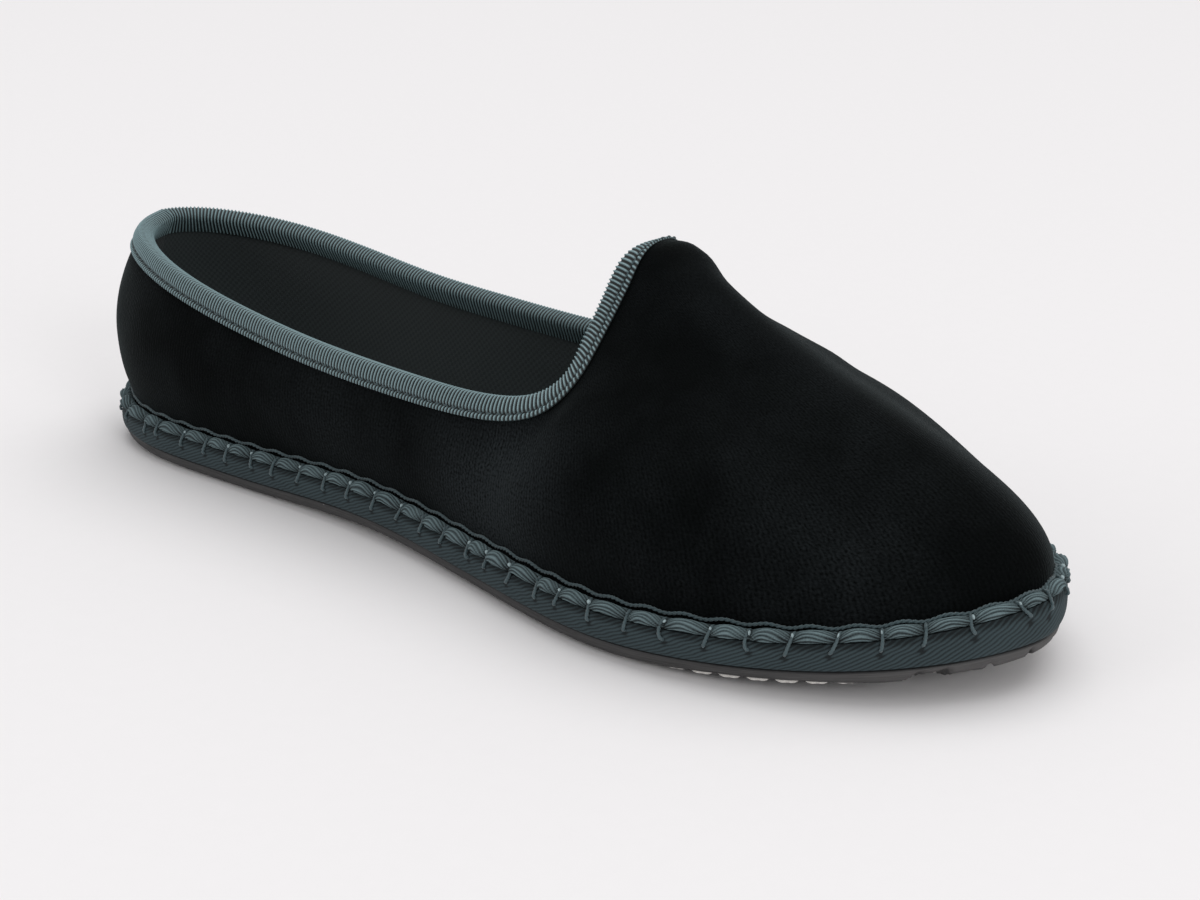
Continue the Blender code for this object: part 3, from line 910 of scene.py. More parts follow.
class SLIPPER_OT_binding(Maker, bpy.types.Operator):
    """Make the ribbed tape folded over the topline, and its line of stitches"""

    bl_idname = "slipper.binding"
    bl_label = "Topline binding"

    STEPS_PER_RIB = 6
    # Share of a rib's height that lies inside the section
    RIB_SUNK = 0.6
    THINNER_AT_PEAK = 0.6
    CLOTH_STEP = 0.6 * MM
    STITCH_LINE = 0.31
    STITCH_PITCH = 2.3 * MM
    STITCH_SHARE = 0.72
    STITCH_RADIUS = 0.17 * MM
    STITCH_OUT = 0.6 * MM
    STITCH_BOW = 0.25 * MM
    STEPS_PER_STITCH = 10
    # Round the tape: share from its lower edge to the fold, distance out from the velvet, height over the
    # edge, and how much of the ribs shows. The flange below the line of stitches has its ribs half a step on.
    SECTION = (
        # w, out mm, over mm, ribs, flange
        (0.00, 0.30, 0.0, 0.0, 1.0),
        (0.00, 0.75, 0.0, 0.8, 1.0),
        (0.10, 0.95, 0.0, 1.0, 1.0),
        (0.20, 0.90, 0.0, 1.0, 1.0),
        (0.27, 0.62, 0.0, 0.5, 1.0),
        (0.31, 0.48, 0.0, 0.1, 0.0),
        (0.36, 0.70, 0.0, 0.6, 0.0),
        (0.46, 1.05, 0.0, 1.0, 0.0),
        (0.62, 1.18, 0.0, 1.0, 0.0),
        (0.80, 1.18, 0.0, 1.0, 0.0),
        (1.00, 1.10, 0.0, 1.0, 0.0),
        (1.00, 0.80, 0.70, 1.0, 0.0),
        (1.00, 0.10, 1.12, 1.0, 0.0),
        (1.00, -1.00, 1.25, 1.0, 0.0),
        (1.00, -2.10, 1.12, 1.0, 0.0),
        (1.00, -2.80, 0.70, 1.0, 0.0),
        (1.00, -3.10, 0.0, 1.0, 0.0),
        (0.70, -3.10, 0.0, 1.0, 0.0),
        (0.36, -2.95, 0.0, 1.0, 0.0),
        (0.00, -2.80, 0.0, 0.8, 0.0),
        (0.00, -2.30, 0.0, 0.0, 0.0),
        (0.50, -2.30, 0.0, 0.0, 0.0),
        (1.00, -2.30, 0.30, 0.0, 0.0),
        (1.00, 0.30, 0.30, 0.0, 0.0),
        (0.50, 0.30, 0.0, 0.0, 0.0),
        (0.00, 0.30, 0.0, 0.0, 1.0),
    )

    def make(self, sizes, colours):
        along, way, ribs = paced(topline, sizes.rib_pitch, self.STEPS_PER_RIB)
        low = tape_low(along)
        rise = unit(topline(along) - wall(along, 1.0 - WALL_STEP))
        turn = np.linspace(0.0, ribs, len(along))
        thin = 1 - self.THINNER_AT_PEAK * at_peak(along)
        s = np.linspace(0.0, way, len(along))
        rows, places, heights = [], [], []
        for w, out, over, show, flange in self.SECTION:
            t = low + (1 - low) * w
            wave = 0.5 + 0.5 * np.cos(2 * np.pi * (turn + 0.5 * flange))
            rung = wave**2 * show
            relief = (rung - self.RIB_SUNK * show) * sizes.rib_height
            # Ribs stand away from the middle of the wall on both its sides, and up at the fold
            outward = out * MM + np.sign(out + 1.0) * relief * (over < 1.0)
            outward = outward * (thin if out > 0 else 1.0)
            over_edge = over * MM * thin + relief * (over > 0.6)
            rows.append(wall(along, t) + wall_normal(along, t) * outward[:, None] + rise * over_edge[:, None])
            places.append(np.stack([s, np.full(len(s), len(places) * self.CLOTH_STEP)], -1))
            heights.append(rung)
        grid = np.stack(rows)
        piece = sew("grosgrain_binding", [(grid, np.stack(places), 0)], [grosgrain(colours)])
        # The rib height also paints the tape darker in the gaps between ribs, as painted shade
        keep(piece, "ridge_and_shade", grid, np.stack(heights))
        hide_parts("topline_binding")
        self.stitches(colours)

    def stitches(self, colours):
        """Short stitches in the dent between the tape's flange and its fold."""
        steps = self.STEPS_PER_STITCH
        along, _, count = paced(topline, self.STITCH_PITCH, steps)
        bow = np.sin(np.pi * np.linspace(0.0, 1.0, 8))
        grids = []
        for i in range(count):
            at = np.linspace(i, i + self.STITCH_SHARE, len(bow)) * steps
            here = np.interp(at, np.arange(len(along)), along)
            low = tape_low(here)
            t = low + (1 - low) * self.STITCH_LINE
            away = wall_normal(here, t)
            path = wall(here, t) + away * (self.STITCH_OUT + self.STITCH_BOW * (bow[:, None] - 1))
            grids.append((thread(path, away, self.STITCH_RADIUS * np.sqrt(bow), sides=6), None, 0))
        cotton = sewing_thread("teal_cotton_thread", colours.teal_thread, 0.6)
        piece = sew("binding_stitches", grids, [cotton])


class SLIPPER_OT_band(Maker, bpy.types.Operator):
    """Make the twill-wrapped midsole, with the raised diagonal lines of its cloth"""

    bl_idname = "slipper.band"
    bl_label = "Twill band"

    COLUMNS = 1700
    ROWS = 25
    SLOPE = np.radians(27)
    BULGE = 0.75 * MM
    # Share of a line's height that lies inside the band
    LINE_SUNK = 0.6
    # Lines waver by this share of their pitch, over these lengths
    WAVER = 0.12
    WAVER_ALONG = 7.3 * MM
    WAVER_UP = 3.1 * MM
    WAVER_FADE = 41 * MM
    # The side is uneven by this much, over these lengths
    UNEVEN = 0.12 * MM
    UNEVEN_SHORT = 31 * MM
    UNEVEN_LONG = 83 * MM
    # Dent where a tack goes in, painted darker as shade in the hole: how far below the roll, width and height
    DENT_DROP = 1.85 * MM
    DENT_WIDTH = 0.55 * MM
    DENT_HEIGHT = 0.5 * MM

    def make(self, sizes, colours):
        along, way = even(sole_edge, self.COLUMNS)
        h = np.linspace(0.0, 1.0, self.ROWS + 1)[:, None]
        s = np.linspace(0.0, way, self.COLUMNS + 1)
        lines = round(way * np.sin(self.SLOPE) / sizes.twill_pitch)
        up = h * (BAND + TOE_THICKENING * 0.5)
        turn = up * np.cos(self.SLOPE) / sizes.twill_pitch - lines * s / way
        waver = self.WAVER * np.sin(2 * np.pi * (s / self.WAVER_ALONG + up / self.WAVER_UP))
        turn = turn + waver * np.sin(2 * np.pi * s / self.WAVER_FADE)
        ridge_and_shade = (0.5 + 0.5 * np.cos(2 * np.pi * turn)) ** 0.7
        shown = between(h, 0.0, 0.08, 0.92, 1.0)
        soft = self.UNEVEN * np.sin(2 * np.pi * s / self.UNEVEN_SHORT + 1.3)
        soft = soft * np.sin(2 * np.pi * s / self.UNEVEN_LONG)
        out = self.BULGE * (1 - np.abs(2 * h - 0.95) ** 3.2 / 1.05**3.2) + soft * shown
        puckers, tacks, lean, longer = tack_places(sizes)
        near = s / way * puckers - tacks[:, None] - lean[:, None] * puckers / 2
        near = np.abs((near + puckers / 2) % puckers - puckers / 2) * way / puckers
        off = near.min(0)
        drop = BAND + GAP - self.DENT_DROP * longer[near.argmin(0)]
        dent_and_shade = np.exp(-((off / self.DENT_WIDTH) ** 2) - ((up - drop) / self.DENT_HEIGHT) ** 2)
        # Painted shade: the band is darker in the tack dents and under the overhanging roll, less so near the
        # tacks
        shade_under_roll = ease(h, 0.7, 0.95) * (0.35 + 0.65 * ease(off, 0.3 * MM, 1.6 * MM))
        ridge_and_shade = ridge_and_shade - 1.2 * dent_and_shade - 0.6 * shade_under_roll
        out = out + shown * sizes.twill_height * (ridge_and_shade - self.LINE_SUNK)
        side = layer(along, -out, BAND_BASE + h * BAND, h)
        half = self.COLUMNS // 2
        grids = [(side, np.stack(np.broadcast_arrays(s, up), -1), 0)]
        for edge in (side[0], side[-1]):
            grids.append((np.stack([edge[: half + 1], edge[half:][::-1]]), None, 0))
        piece = sew("twill_band", grids, [twill("cotton_twill", colours.twill, colours.twill_valley_shade)])
        keep(piece, "ridge_and_shade", side, ridge_and_shade)
        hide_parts("wrapped_midsole")


def tack_places(sizes):
    """Number of puckers, and for each tack its place in puckers from the heel, how far its end leans along
    the outline, and how long it is."""
    rng = np.random.default_rng(7)
    puckers = paced(sole_edge, sizes.pucker_pitch, 1)[2]
    tacks = np.arange(puckers) + rng.uniform(-0.15, 0.15, puckers)
    tacks[0] = 0.0
    return puckers, tacks, rng.normal(0.0, 0.0026, puckers), rng.uniform(0.75, 1.2, puckers)


class SLIPPER_OT_roll(Maker, bpy.types.Operator):
    """Make the puckered roll over the seam, the tacks that hold it down and the cord along its top"""

    bl_idname = "slipper.roll"
    bl_label = "Edge roll and tacks"

    STEPS_PER_PUCKER = 20
    OUTER_STEPS = 44
    INNER_STEPS = 6
    # The outside of the section ends at this point of its table
    OUTER_END = 4.4
    STRAND = 0.62 * MM
    STRAND_HEIGHT = 0.15 * MM
    STRAND_ARCH = 1.7 * MM
    # Foot of the section, which a tack draws the roll down to
    CORE = (0.9, 0.1)
    # Share of the section that a tack draws in
    DRAWN_IN = 0.58
    # How far the lower edge goes down at a tack, and comes up from there between tacks
    HEM_DOWN = 0.6 * MM
    HEM_UP = 1.05 * MM
    CORD_RADIUS = 0.34 * MM
    CORD_HEIGHT = 2.35 * MM
    CORD_TWIST = 2.1 * MM
    CORD_PLIES = 2
    CORD_STEPS = 20
    TACK_TWIST = 2 * np.pi / (1.5 * MM)
    KNOT_INSET = 0.25 * MM
    KNOT_HEIGHT = 1.35 * MM
    WAXED_GLINT_SHARE = 0.6

    def make(self, sizes, colours):
        rng = np.random.default_rng(8)
        puckers, tacks, lean, longer = tack_places(sizes)
        steps = puckers * self.STEPS_PER_PUCKER
        along, way = even(sole_edge, steps)
        ends = np.append(tacks, puckers)
        at = np.linspace(0.0, puckers, steps + 1)
        number = np.clip(np.searchsorted(ends, at, side="right") - 1, 0, puckers - 1)
        share = (at - ends[number]) / (ends[number + 1] - ends[number])
        full = rng.uniform(0.75, 1.2, puckers)[number]
        bow = np.sin(np.pi * share ** rng.uniform(0.55, 0.95, puckers)[number])
        puff = np.sin(np.pi * share**0.85) ** 0.5
        pinch = 1 - np.sin(np.pi * share**0.85) ** 0.6

        section = np.array(ROLL_SECTION) * MM
        ring = np.concatenate([section, section, section, section[:1]])
        curve = smooth_curve(np.arange(len(ring), dtype=float), ring)
        outside = np.linspace(0.0, self.OUTER_END, self.OUTER_STEPS + 1)
        inside = np.linspace(self.OUTER_END, len(section), self.INNER_STEPS + 1)[1:]
        theta = np.concatenate([outside, inside]) + len(section)
        base = curve(theta)
        ahead = curve(theta + WALL_STEP) - curve(theta - WALL_STEP)
        away = unit(np.stack([-ahead[:, 1], ahead[:, 0]], -1))
        outer = np.clip(0.3 - 0.75 * away[:, 0] + 0.3 * away[:, 1], 0.0, 1.0)[:, None]
        low = np.clip(1 - base[:, 1:] / (1.5 * MM), 0.0, 1.0) * outer
        girth = chords(base)[:, None]
        pulled = rng.uniform(0.55, 1.15, puckers)[number]
        arch = self.STRAND_ARCH * pulled * bow + 0.3 * MM * rng.uniform(-1, 1, puckers)[number]
        turn = 2 * np.pi * (girth - arch) / self.STRAND
        uneven = 0.7 * np.sin(0.43 * turn + 5.0 * full)
        uneven = uneven + 0.5 * np.sin(2 * np.pi * at * 1.7 + 3.0 * girth / MM)
        strands = np.cos(turn + uneven)
        swell = (puff * full - 0.35) * sizes.pucker_height * outer
        swell = swell + self.STRAND_HEIGHT * strands * outer * (0.4 + 0.6 * puff)
        drawn = 1 - self.DRAWN_IN * pinch * outer * (1 - low)
        core = np.array(self.CORE) * MM
        inset = core[0] + (base[:, :1] + away[:, :1] * swell - core[0]) * drawn
        height = core[1] + (base[:, 1:] + away[:, 1:] * swell - core[1]) * drawn
        height = height - low * (self.HEM_DOWN - self.HEM_UP * puff)
        grid = layer(along, inset, DECK + height, 1.0)
        s = np.linspace(0.0, way, steps + 1)
        cloth = np.stack(np.broadcast_arrays(s, girth), -1)
        stretched = twill("stretched_twill", colours.roll, colours.roll_valley_shade)
        piece = sew("puckered_roll", [(grid, cloth, 0)], [stretched])
        # Painted highlight and shade: lighter on strand crests and pucker crowns, darker between strands, at
        # the pinches and along the lower edge
        shade = 0.1 + (0.45 + 0.45 * strands) * (0.45 + 0.55 * puff) - 0.4 * pinch - 0.3 * low
        keep(piece, "ridge_and_shade", grid, shade)
        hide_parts("seam_roll")
        self.tacks(zip(np.interp(tacks, at, along), lean, longer), rng, sizes, colours)
        self.cord(puckers, colours)

    def tacks(self, places, rng, sizes, colours):
        """A thread over each pinch of the roll, with a small waxed knot at its top, most of them painted pale
        as a glint.
        """
        path = np.array(TACK_PATH) * MM
        fine = smooth_curve(np.arange(len(path), dtype=float), path)(np.linspace(0.0, len(path) - 1.0, 20))
        u = np.linspace(0.0, 1.0, 9)
        bulge = np.sqrt(np.sin(np.pi * u))
        grids = []
        for middle, slant, longer in places:
            down = np.where(fine[:, 1] < 0, fine[:, 1] * longer, fine[:, 1])
            bend = rng.normal(0.0, 0.0014) * np.sin(np.pi * np.linspace(0.0, 1.0, len(fine)))
            lean = middle + slant * np.linspace(-0.3, 1.0, len(fine)) + bend
            line = layer(lean, fine[:, 0], DECK + down, 1.0)
            _, out = outline(middle, 0.0)
            away = unit(np.array([out[0], out[1], 0.35]))
            radius = 0.5 * sizes.tack_thread * np.concatenate([[0.0, 0.7], np.ones(16), [0.8, 0.0]])
            grids.append((thread(line, away, radius, lobes=0.16, twist=self.TACK_TWIST), None, 0))
            tilt = rng.uniform(-0.4, 0.4) * MM
            wide = rng.uniform(0.0012, 0.0024)
            height = DECK + self.KNOT_HEIGHT + tilt * (u - 0.5)
            knot = layer(middle + wide * (u - 0.5), self.KNOT_INSET, height, 1.0)
            # Most knots take the pale knot colour, a painted glint of their wax
            waxed = int(rng.uniform() < self.WAXED_GLINT_SHARE)
            grids.append((thread(knot, away, rng.uniform(0.32, 0.5) * MM * bulge), None, waxed))
        threads = [
            sewing_thread("teal_waxed_thread", colours.teal_thread, 0.5),
            sewing_thread("waxed_knot_glint", colours.knot, 0.3),
        ]
        piece = sew("edge_tacks", grids, threads)

    def cord(self, puckers, colours):
        """A two-ply cord laid on the velvet along the top of the roll."""
        steps = puckers * self.CORD_STEPS
        along, way = even(lambda a: wall(a, 0.07), steps)
        t = np.linspace(0.0, 0.3, 61)
        heights = wall(along[:, None], t)[..., 2] - wall(along, 0.0)[:, 2:]
        wave = 0.3 * MM * np.cos(2 * np.pi * np.linspace(0.0, puckers, steps + 1) + np.pi)
        at = np.array([np.interp(self.CORD_HEIGHT + w, row, t) for w, row in zip(wave, heights)])
        away = wall_normal(along, at)
        up = unit(wall(along, at + 0.01) - wall(along, at - 0.01))
        turns = round(way / self.CORD_TWIST)
        spin = 2 * np.pi * np.linspace(0.0, turns, steps + 1)[:, None]
        grids = []
        for ply in range(self.CORD_PLIES):
            turn = spin + np.pi * ply
            lay = wall(along, at) + away * self.CORD_RADIUS
            path = lay + 0.45 * self.CORD_RADIUS * (np.cos(turn) * away + np.sin(turn) * up)
            ring = thread(path, away, np.full(len(path), 0.66 * self.CORD_RADIUS), sides=6)
            ring[-1] = ring[0]
            grids.append((ring, None, 0))
        piece = sew("edge_cord", grids, [sewing_thread("teal_cord", colours.teal_thread, 0.6)])


def row_points(table, pitch, loop):
    """Points about a pitch apart along a row of the tread's stitches, on both halves where it is a loop."""
    half = np.array(table) * MM * (SCALE_X, SCALE_Y)
    if loop:
        half = np.concatenate([half * (1, -1), half[-2::-1]])
    way = chords(half)
    dense = smooth_curve(way, half)(np.linspace(0.0, way[-1], 4001))
    run = chords(dense)
    steps = np.linspace(0.0, run[-1], int(round(run[-1] / pitch)) + 1)
    return np.stack([np.interp(steps, run, dense[:, k]) for k in range(2)], -1)


def stitch_rows(sizes):
    """All rows of stitches on the tread, each as plan points at the ends of its stitches' steps."""
    outer = row_points(OUTER_LOOP, sizes.stitch_pitch, True)
    inner = row_points(INNER_LOOP, sizes.stitch_pitch, True)
    centre = row_points(CENTRE_ROW, sizes.stitch_pitch, False)
    edge = edge_row(paced(edge_row, sizes.stitch_pitch, 1)[0])
    return outer, inner, centre, centre * (1, -1), edge


def edge_row(along):
    """The row of stitches along the edge: further out at the ball of the foot on both sides, and further in
    where the straight grooves run out at the toe."""
    ball = np.exp(-(((np.abs(along) - 0.195) / 0.085) ** 4)) * ease(np.abs(along), 0.112, 0.132)
    grooves = np.exp(-(((np.abs(along) - 0.08) / 0.03) ** 2))
    inset = EDGE_ROW_INSET + (EDGE_ROW_INSET_AT_BALL - EDGE_ROW_INSET) * ball + EDGE_ROW_IN_AT_TOE * grooves
    return outline(along, inset)[0]


def rim():
    """A function for the tread face's height over the lift of the sole: flat, and rounded up at the rim."""
    along = np.linspace(-1.0, 1.0, 1201)
    edge, out = outline(along, 0.0)
    tree = nearest(edge)
    # From the widest line of the side down to the tread face
    side = np.array(RUBBER_SIDE)[6::-1] * MM

    def height(points):
        inset = []
        for point in points:
            i = tree.find((*point, 0.0))[1]
            inset.append((edge[i] - point) @ out[i])
        return np.interp(inset, side[:, 0], side[:, 1])

    return height


def stitches_of(sizes):
    """Start and end of each stitch on the tread."""
    shown = 0.5 * sizes.stitch_length / sizes.stitch_pitch
    ends = []
    for row in stitch_rows(sizes):
        middle = 0.5 * (row[1:] + row[:-1])
        step = row[1:] - row[:-1]
        ends.append(np.stack([middle - shown * step, middle + shown * step], 1))
    return np.concatenate(ends)


def tread(x, y, sizes):
    """Depth of the moulded pattern at these points of the tread."""
    x, y = x / (SCALE_X * MM), y / (SCALE_Y * MM)
    depth = np.zeros(x.shape)
    for sign in (-1, 1):
        off = sign * y
        turn = (x + (0.0 if sign < 0 else 0.5 * REPEAT)) % REPEAT
        notch = NOTCH_DEPTH * np.clip(1 - np.abs(turn - 0.5 * REPEAT) / NOTCH_HALF, 0.0, 1.0)
        bridge = 1 - 0.85 * np.exp(-(((turn + 0.5 * REPEAT) % REPEAT - 0.5 * REPEAT) / 0.5) ** 2)
        line = np.abs(off - RIB_HALF + notch)
        groove = sizes.groove_depth / MM * (1 - ease(line, 0.35, 0.95)) * bridge
        depth = np.maximum(depth, groove)
        for middle, width, deep, start, end in STRAIGHT_GROOVES:
            inside = between(x, start, start + 2.0, end - 2.0, end)
            at_toe = ease(x, *GROOVES_WIDEN)
            wide = width * (1 + 0.9 * at_toe)
            cut = deep * (1 + at_toe) * inside * (1 - ease(np.abs(off - middle), 0.25 * wide, 0.8 * wide))
            depth = np.maximum(depth, cut)
        step = (x + 3.0 * sign) % REPEAT
        for ax, ay, bx, by, thin, thick in MARKS:
            run, rise = bx - ax, by - ay
            share = np.clip(((step - ax) * run + (off - ay) * rise) / (run**2 + rise**2), 0, 1)
            away = np.hypot(step - ax - share * run, off - ay - share * rise)
            reach = thin + (thick - thin) * share
            depth = np.maximum(depth, MARK_DEPTH * (1 - ease(away, 0.3 * reach, 1.25 * reach)))
        tongue = 9.4 + 3.6 * np.abs(np.cos(np.pi * (x + 3.0 * sign) / REPEAT))
        depth = depth + FIELD_DEPTH * between(off, tongue - 0.5, tongue + 0.5, 16.6, 17.6)
        ribbed = between(off, 25.0, 25.6, 28.4, 29.0) * between(x, 96.0, 104.0, 206.0, 214.0)
        depth = depth + FINE_RIB_DEPTH * ribbed * (0.5 + 0.5 * np.cos(2 * np.pi * x / FINE_RIB_PITCH))
    for dx, dy, radius in DENTS:
        depth = depth + DENT_DEPTH * (1 - ease(np.hypot(x - dx, y - dy), 0.6 * radius, 1.1 * radius))
    return depth * MM


class SLIPPER_OT_outsole(Maker, bpy.types.Operator):
    """Make the rubber sole with its grooves, marks, stitch channels and cut side"""

    bl_idname = "slipper.outsole"
    bl_label = "Rubber outsole"

    COLUMNS = 470
    ROWS = 170
    # The cut side lies between these lines of its table
    CUT_FROM = 3
    CUT_TO = 7
    # Depth and reach of the channel along a stitch, and of the hole at each of its ends
    CHANNEL = (0.72 * MM, 0.95 * MM)
    HOLE = (0.8 * MM, 0.75 * MM)

    def make(self, sizes, colours):
        side = np.array(RUBBER_SIDE) * MM
        along = even(lambda a: outline(a, side[0, 0])[0], self.COLUMNS, 0.0, 1.0)[0]
        edge = outline(along, side[0, 0])[0]
        edge[[0, -1], 1] = 0.0
        v = np.linspace(-1.0, 1.0, self.ROWS + 1)[:, None]
        x = np.broadcast_to(edge[:, 0], (self.ROWS + 1, len(along)))
        y = v * edge[:, 1]
        grids = [(np.stack([x, y, lift(x) + self.relief(x, y, sizes)], -1), None, 0)]
        crown = []
        for sign in (-1, 1):
            rings = layer(sign * along, side[:, :1], side[:, 1:])
            rings[:, [0, -1], 1] = 0.0
            rings[..., 2] += self.relief(rings[..., 0], rings[..., 1], sizes) * np.array(RUN_OUT)[:, None]
            rings[0] = grids[0][0][0 if sign < 0 else -1]
            cloth = np.stack(np.broadcast_arrays(chords(edge), side[:, 1:]), -1)
            skins = ((0, self.CUT_FROM, 0), (self.CUT_FROM, self.CUT_TO, 1), (self.CUT_TO, len(side) - 1, 0))
            for first, last, finish in skins:
                grids.append((rings[first : last + 1], cloth[first : last + 1], finish))
            crown.append(rings[-1])
        grids.append((np.stack(crown), None, 0))
        piece = sew("rubber_outsole", grids, [moulded_rubber(colours), cut_rubber(colours)], sharp=55.0)
        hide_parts("outsole")

    def relief(self, x, y, sizes):
        """Depth of the pattern, of the channels that the thread lies in, and of the holes at its ends."""
        ends = stitches_of(sizes)
        share = np.linspace(0.0, 1.0, 13)[None, :, None]
        lines = ends[:, :1] * (1 - share) + ends[:, 1:] * share
        deep = np.zeros(x.size)
        for points, (depth, reach) in ((lines, self.CHANNEL), (ends, self.HOLE)):
            tree = nearest(points.reshape(-1, 2))
            off = np.array([tree.find((a, b, 0.0))[2] for a, b in zip(x.ravel(), y.ravel())])
            deep += depth * np.exp(-((off / reach) ** 4))
        return tread(x, y, sizes) + deep.reshape(x.shape)


class SLIPPER_OT_sole_stitches(Maker, bpy.types.Operator):
    """Make the rows of white stitches that sew the rubber to the midsole"""

    bl_idname = "slipper.sole_stitches"
    bl_label = "Sole stitches"

    TWIST = 2 * np.pi / (3.0 * MM)
    DOWN = (0.0, 0.0, -1.0)

    def make(self, sizes, colours):
        rng = np.random.default_rng(11)
        u = np.linspace(0.0, 1.0, 13)
        radius = 0.5 * sizes.sole_thread
        lowest = 1.12 * radius
        rim_height = rim()
        grids = []
        for start, end in stitches_of(sizes):
            step = end - start
            across = np.array([-step[1], step[0]]) / np.linalg.norm(step)
            lean = rng.uniform(0.12, 0.34) * MM
            plan = start + u[:, None] * step + across * (lean * (2 * u - 1))[:, None]
            rise = lowest + 0.9 * MM * np.abs(2 * u - 1) ** 7 + rng.uniform(0.0, 0.06) * MM
            edge = rim_height(plan)
            rise = np.maximum(rise + 1.6 * edge - radius * ramp(edge, 0.0, 0.5 * MM), lowest)
            sunk = 1.1 * np.pad(tread(plan[:, 0], plan[:, 1], sizes), 2, mode="edge")
            rise = rise + np.convolve(sunk, np.full(5, 0.2), "valid")
            path = np.concatenate([plan, (lift(plan[:, 0]) + rise)[:, None]], -1)
            girth = radius * np.clip(1.15 * np.sin(np.pi * u) ** 0.3, 0.0, 1.0)
            grids.append((thread(path, self.DOWN, girth, lobes=0.1, twist=self.TWIST), None, 0))
        waxed = sewing_thread("white_waxed_thread", colours.white_thread, 0.5)
        piece = sew("sole_stitches", grids, [waxed])


class SLIPPER_OT_insole(Maker, bpy.types.Operator):
    """Make the cotton-covered insole"""

    bl_idname = "slipper.insole"
    bl_label = "Insole"

    COLUMNS = 160
    ROWS = 28
    # How far its middle is worn down
    WORN = 0.35 * MM
    # From its underside up to its top: distance in from its own edge and height, in mm
    SIDE = ((0.0, 0.0), (0.0, 1.2), (0.05, 2.0), (0.3, 2.6), (0.8, 2.9), (1.4, 3.0))

    def make(self, sizes, colours):
        inset = UPPER_INSET + UPPER_WALL + GAP
        side = np.array(self.SIDE) * MM
        along = even(lambda a: outline(a, inset)[0], self.COLUMNS, 0.0, 1.0)[0]
        halves = []
        for sign in (-1, 1):
            rings = layer(sign * along, inset + side[:, :1], DECK + side[:, 1:], 1.0)
            rings[:, [0, -1], 1] = 0.0
            halves.append(rings)
        grids = [(rings, None, 0) for rings in halves]
        v = np.linspace(0.0, 1.0, self.ROWS + 1)[:, None, None]
        top = halves[0][-1] * (1 - v) + halves[1][-1] * v
        top[..., 2] -= np.sin(np.pi * v[..., 0]) ** 2 * self.WORN
        grids.append((top, None, 0))
        grids.append((np.stack([halves[0][0], halves[1][0]]), None, 0))
        piece = sew("cotton_insole", grids, [plain_weave(colours)])
        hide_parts("insole")


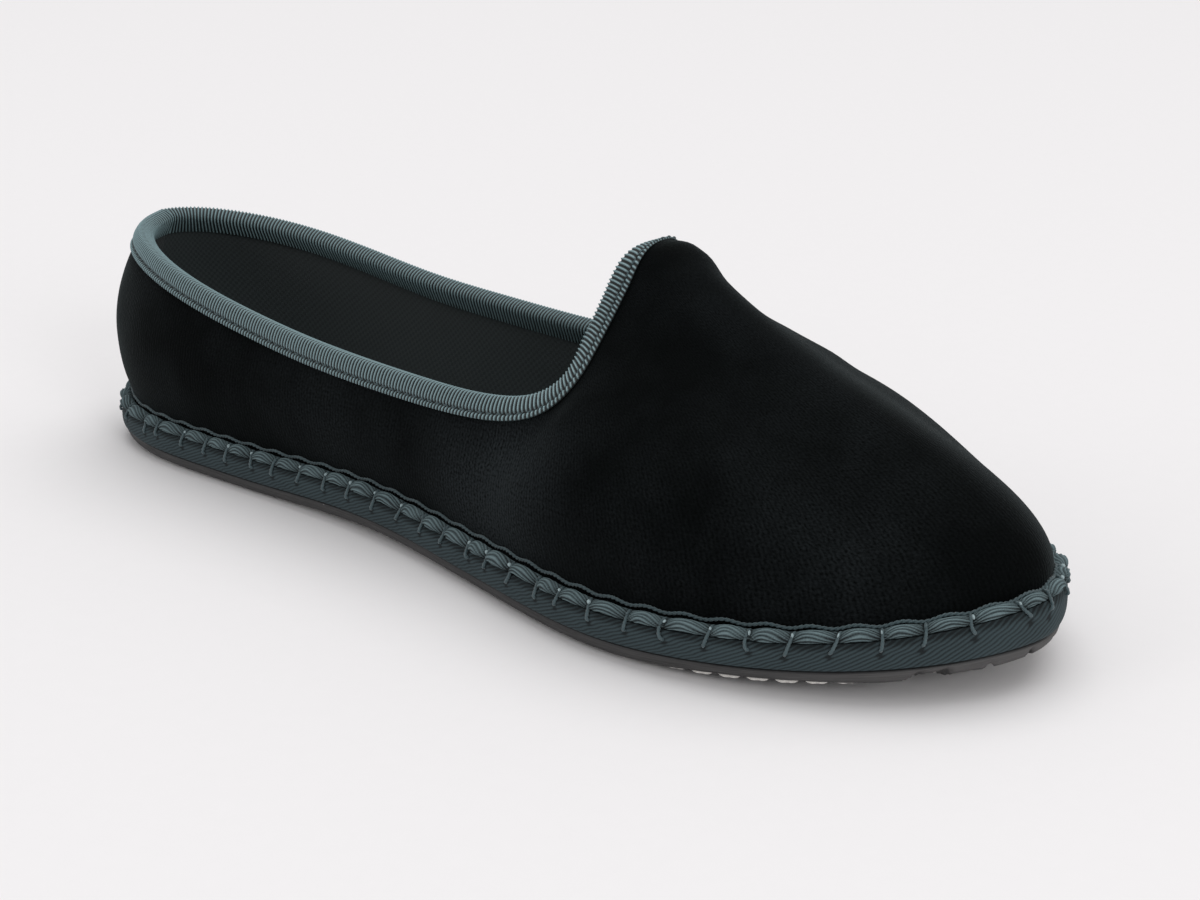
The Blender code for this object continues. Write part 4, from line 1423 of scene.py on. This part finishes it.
class SLIPPER_OT_stage(Maker, bpy.types.Operator):
    """Make the plain floor, the soft lights and the camera"""

    bl_idname = "slipper.stage"
    bl_label = "Stage"

    FLOOR_RADIUS = 9.0
    CAMERA_PLACE = Vector((0.29041, -0.31032, 0.16869))
    CAMERA_AIM = Vector((0.013, 0.008, 0.017))
    CAMERA_ROLL = np.radians(-0.81)
    SUN_STRENGTH = 1.35
    SUN_ANGLE = np.radians(60)
    SUN_FROM = (-0.05, 0.3, 1.0)
    SKY = 0.55
    LIGHTS = (
        # name, place, aim, size, watts
        ("front_softbox", (3.3, -1.2, 1.5), (0.02, 0.0, 0.03), 1.5, 32.0),
        ("side_softbox", (-1.65, -3.0, 1.65), (0.0, 0.0, 0.03), 1.8, 12.0),
    )

    def make(self, sizes, colours):
        scene = bpy.context.scene
        scene.view_settings.view_transform = "Standard"
        self.floor(colours.floor)
        world = bpy.data.worlds.new("soft_white")
        world.use_nodes = True
        sky = world.node_tree.nodes["Background"]
        sky.inputs["Color"].default_value = (1.0, 1.0, 1.0, 1.0)
        sky.inputs["Strength"].default_value = self.SKY
        scene.world = world
        data = bpy.data.lights.new("overhead", "SUN")
        data.energy = self.SUN_STRENGTH
        data.angle = self.SUN_ANGLE
        sun = put("overhead", data)
        sun.rotation_euler = Vector(self.SUN_FROM).to_track_quat("Z", "Y").to_euler()
        for name, place, aim, size, watts in self.LIGHTS:
            data = bpy.data.lights.new(name, "AREA")
            data.shape = "DISK"
            data.size = size
            data.energy = watts
            lamp = put(name, data)
            lamp.location = place
            lamp.rotation_euler = (Vector(aim) - Vector(place)).to_track_quat("-Z", "Y").to_euler()

        data = bpy.data.cameras.new("camera")
        data.lens = sizes.lens / MM
        data.sensor_width = 36.0
        data.clip_start = 0.01
        camera = put("camera", data)
        turn = (self.CAMERA_AIM - self.CAMERA_PLACE).to_track_quat("-Z", "Y").to_matrix().to_4x4()
        turn = turn @ Matrix.Rotation(self.CAMERA_ROLL, 4, "Z")
        camera.matrix_world = Matrix.Translation(self.CAMERA_PLACE) @ turn
        scene.camera = camera

    def floor(self, colour):
        """A round floor of matt white paper: almost even, with faint fibres 4 mm across."""
        made, tree, shader = finish_of("matt_paper", Roughness=0.95, Specular_IOR_Level=0.05)
        place = node(tree, "TexCoord").outputs["Object"]
        fibre = node(tree, "TexNoise", {"Vector": place, "Scale": 1 / 0.004, "Detail": 2.0})
        paper = {"Factor": fibre, MIX_LOW: (*darker(colour, 0.985), 1.0), MIX_HIGH: (*colour, 1.0)}
        blend = node(tree, "Mix", paper, data_type="RGBA")
        tree.links.new(blend.outputs[MIXED], shader.inputs["Base Color"])
        turn = np.linspace(0.0, 2 * np.pi, 97)[:-1]
        edge = np.stack([np.cos(turn), np.sin(turn), 0 * turn], -1) * self.FLOOR_RADIUS
        mesh = bpy.data.meshes.new("floor")
        mesh.from_pydata(edge.tolist(), [], [tuple(range(len(edge)))])
        mesh.materials.append(made)
        floor = put("floor", mesh)


class SLIPPER_PT_panel(bpy.types.Panel):
    """Pieces, sizes and colours of the slipper"""

    bl_idname = "SLIPPER_PT_panel"
    bl_label = "Velvet slipper"
    bl_space_type = "VIEW_3D"
    bl_region_type = "UI"
    bl_category = "Slipper"

    def draw(self, context):
        column = self.layout.column()
        for operator in OPERATORS:
            column.operator(operator.bl_idname)
        for group in (context.scene.slipper_sizes, context.scene.slipper_colours):
            for name in group.__annotations__:
                column.prop(group, name)


OPERATORS = (
    SLIPPER_OT_upper,
    SLIPPER_OT_binding,
    SLIPPER_OT_band,
    SLIPPER_OT_roll,
    SLIPPER_OT_outsole,
    SLIPPER_OT_sole_stitches,
    SLIPPER_OT_insole,
    SLIPPER_OT_stage,
)
CLASSES = (SlipperSizes, SlipperColours, *OPERATORS, SLIPPER_PT_panel)


def register():
    for made in CLASSES:
        bpy.utils.register_class(made)
    bpy.types.Scene.slipper_sizes = bpy.props.PointerProperty(type=SlipperSizes)
    bpy.types.Scene.slipper_colours = bpy.props.PointerProperty(type=SlipperColours)


def unregister():
    del bpy.types.Scene.slipper_colours
    del bpy.types.Scene.slipper_sizes
    for made in reversed(CLASSES):
        bpy.utils.unregister_class(made)


def main():
    register()
    bpy.ops.slipper.upper()
    bpy.ops.slipper.binding()
    bpy.ops.slipper.band()
    bpy.ops.slipper.roll()
    bpy.ops.slipper.outsole()
    bpy.ops.slipper.sole_stitches()
    bpy.ops.slipper.insole()
    bpy.ops.slipper.stage()


if __name__ == "__main__":
    main()
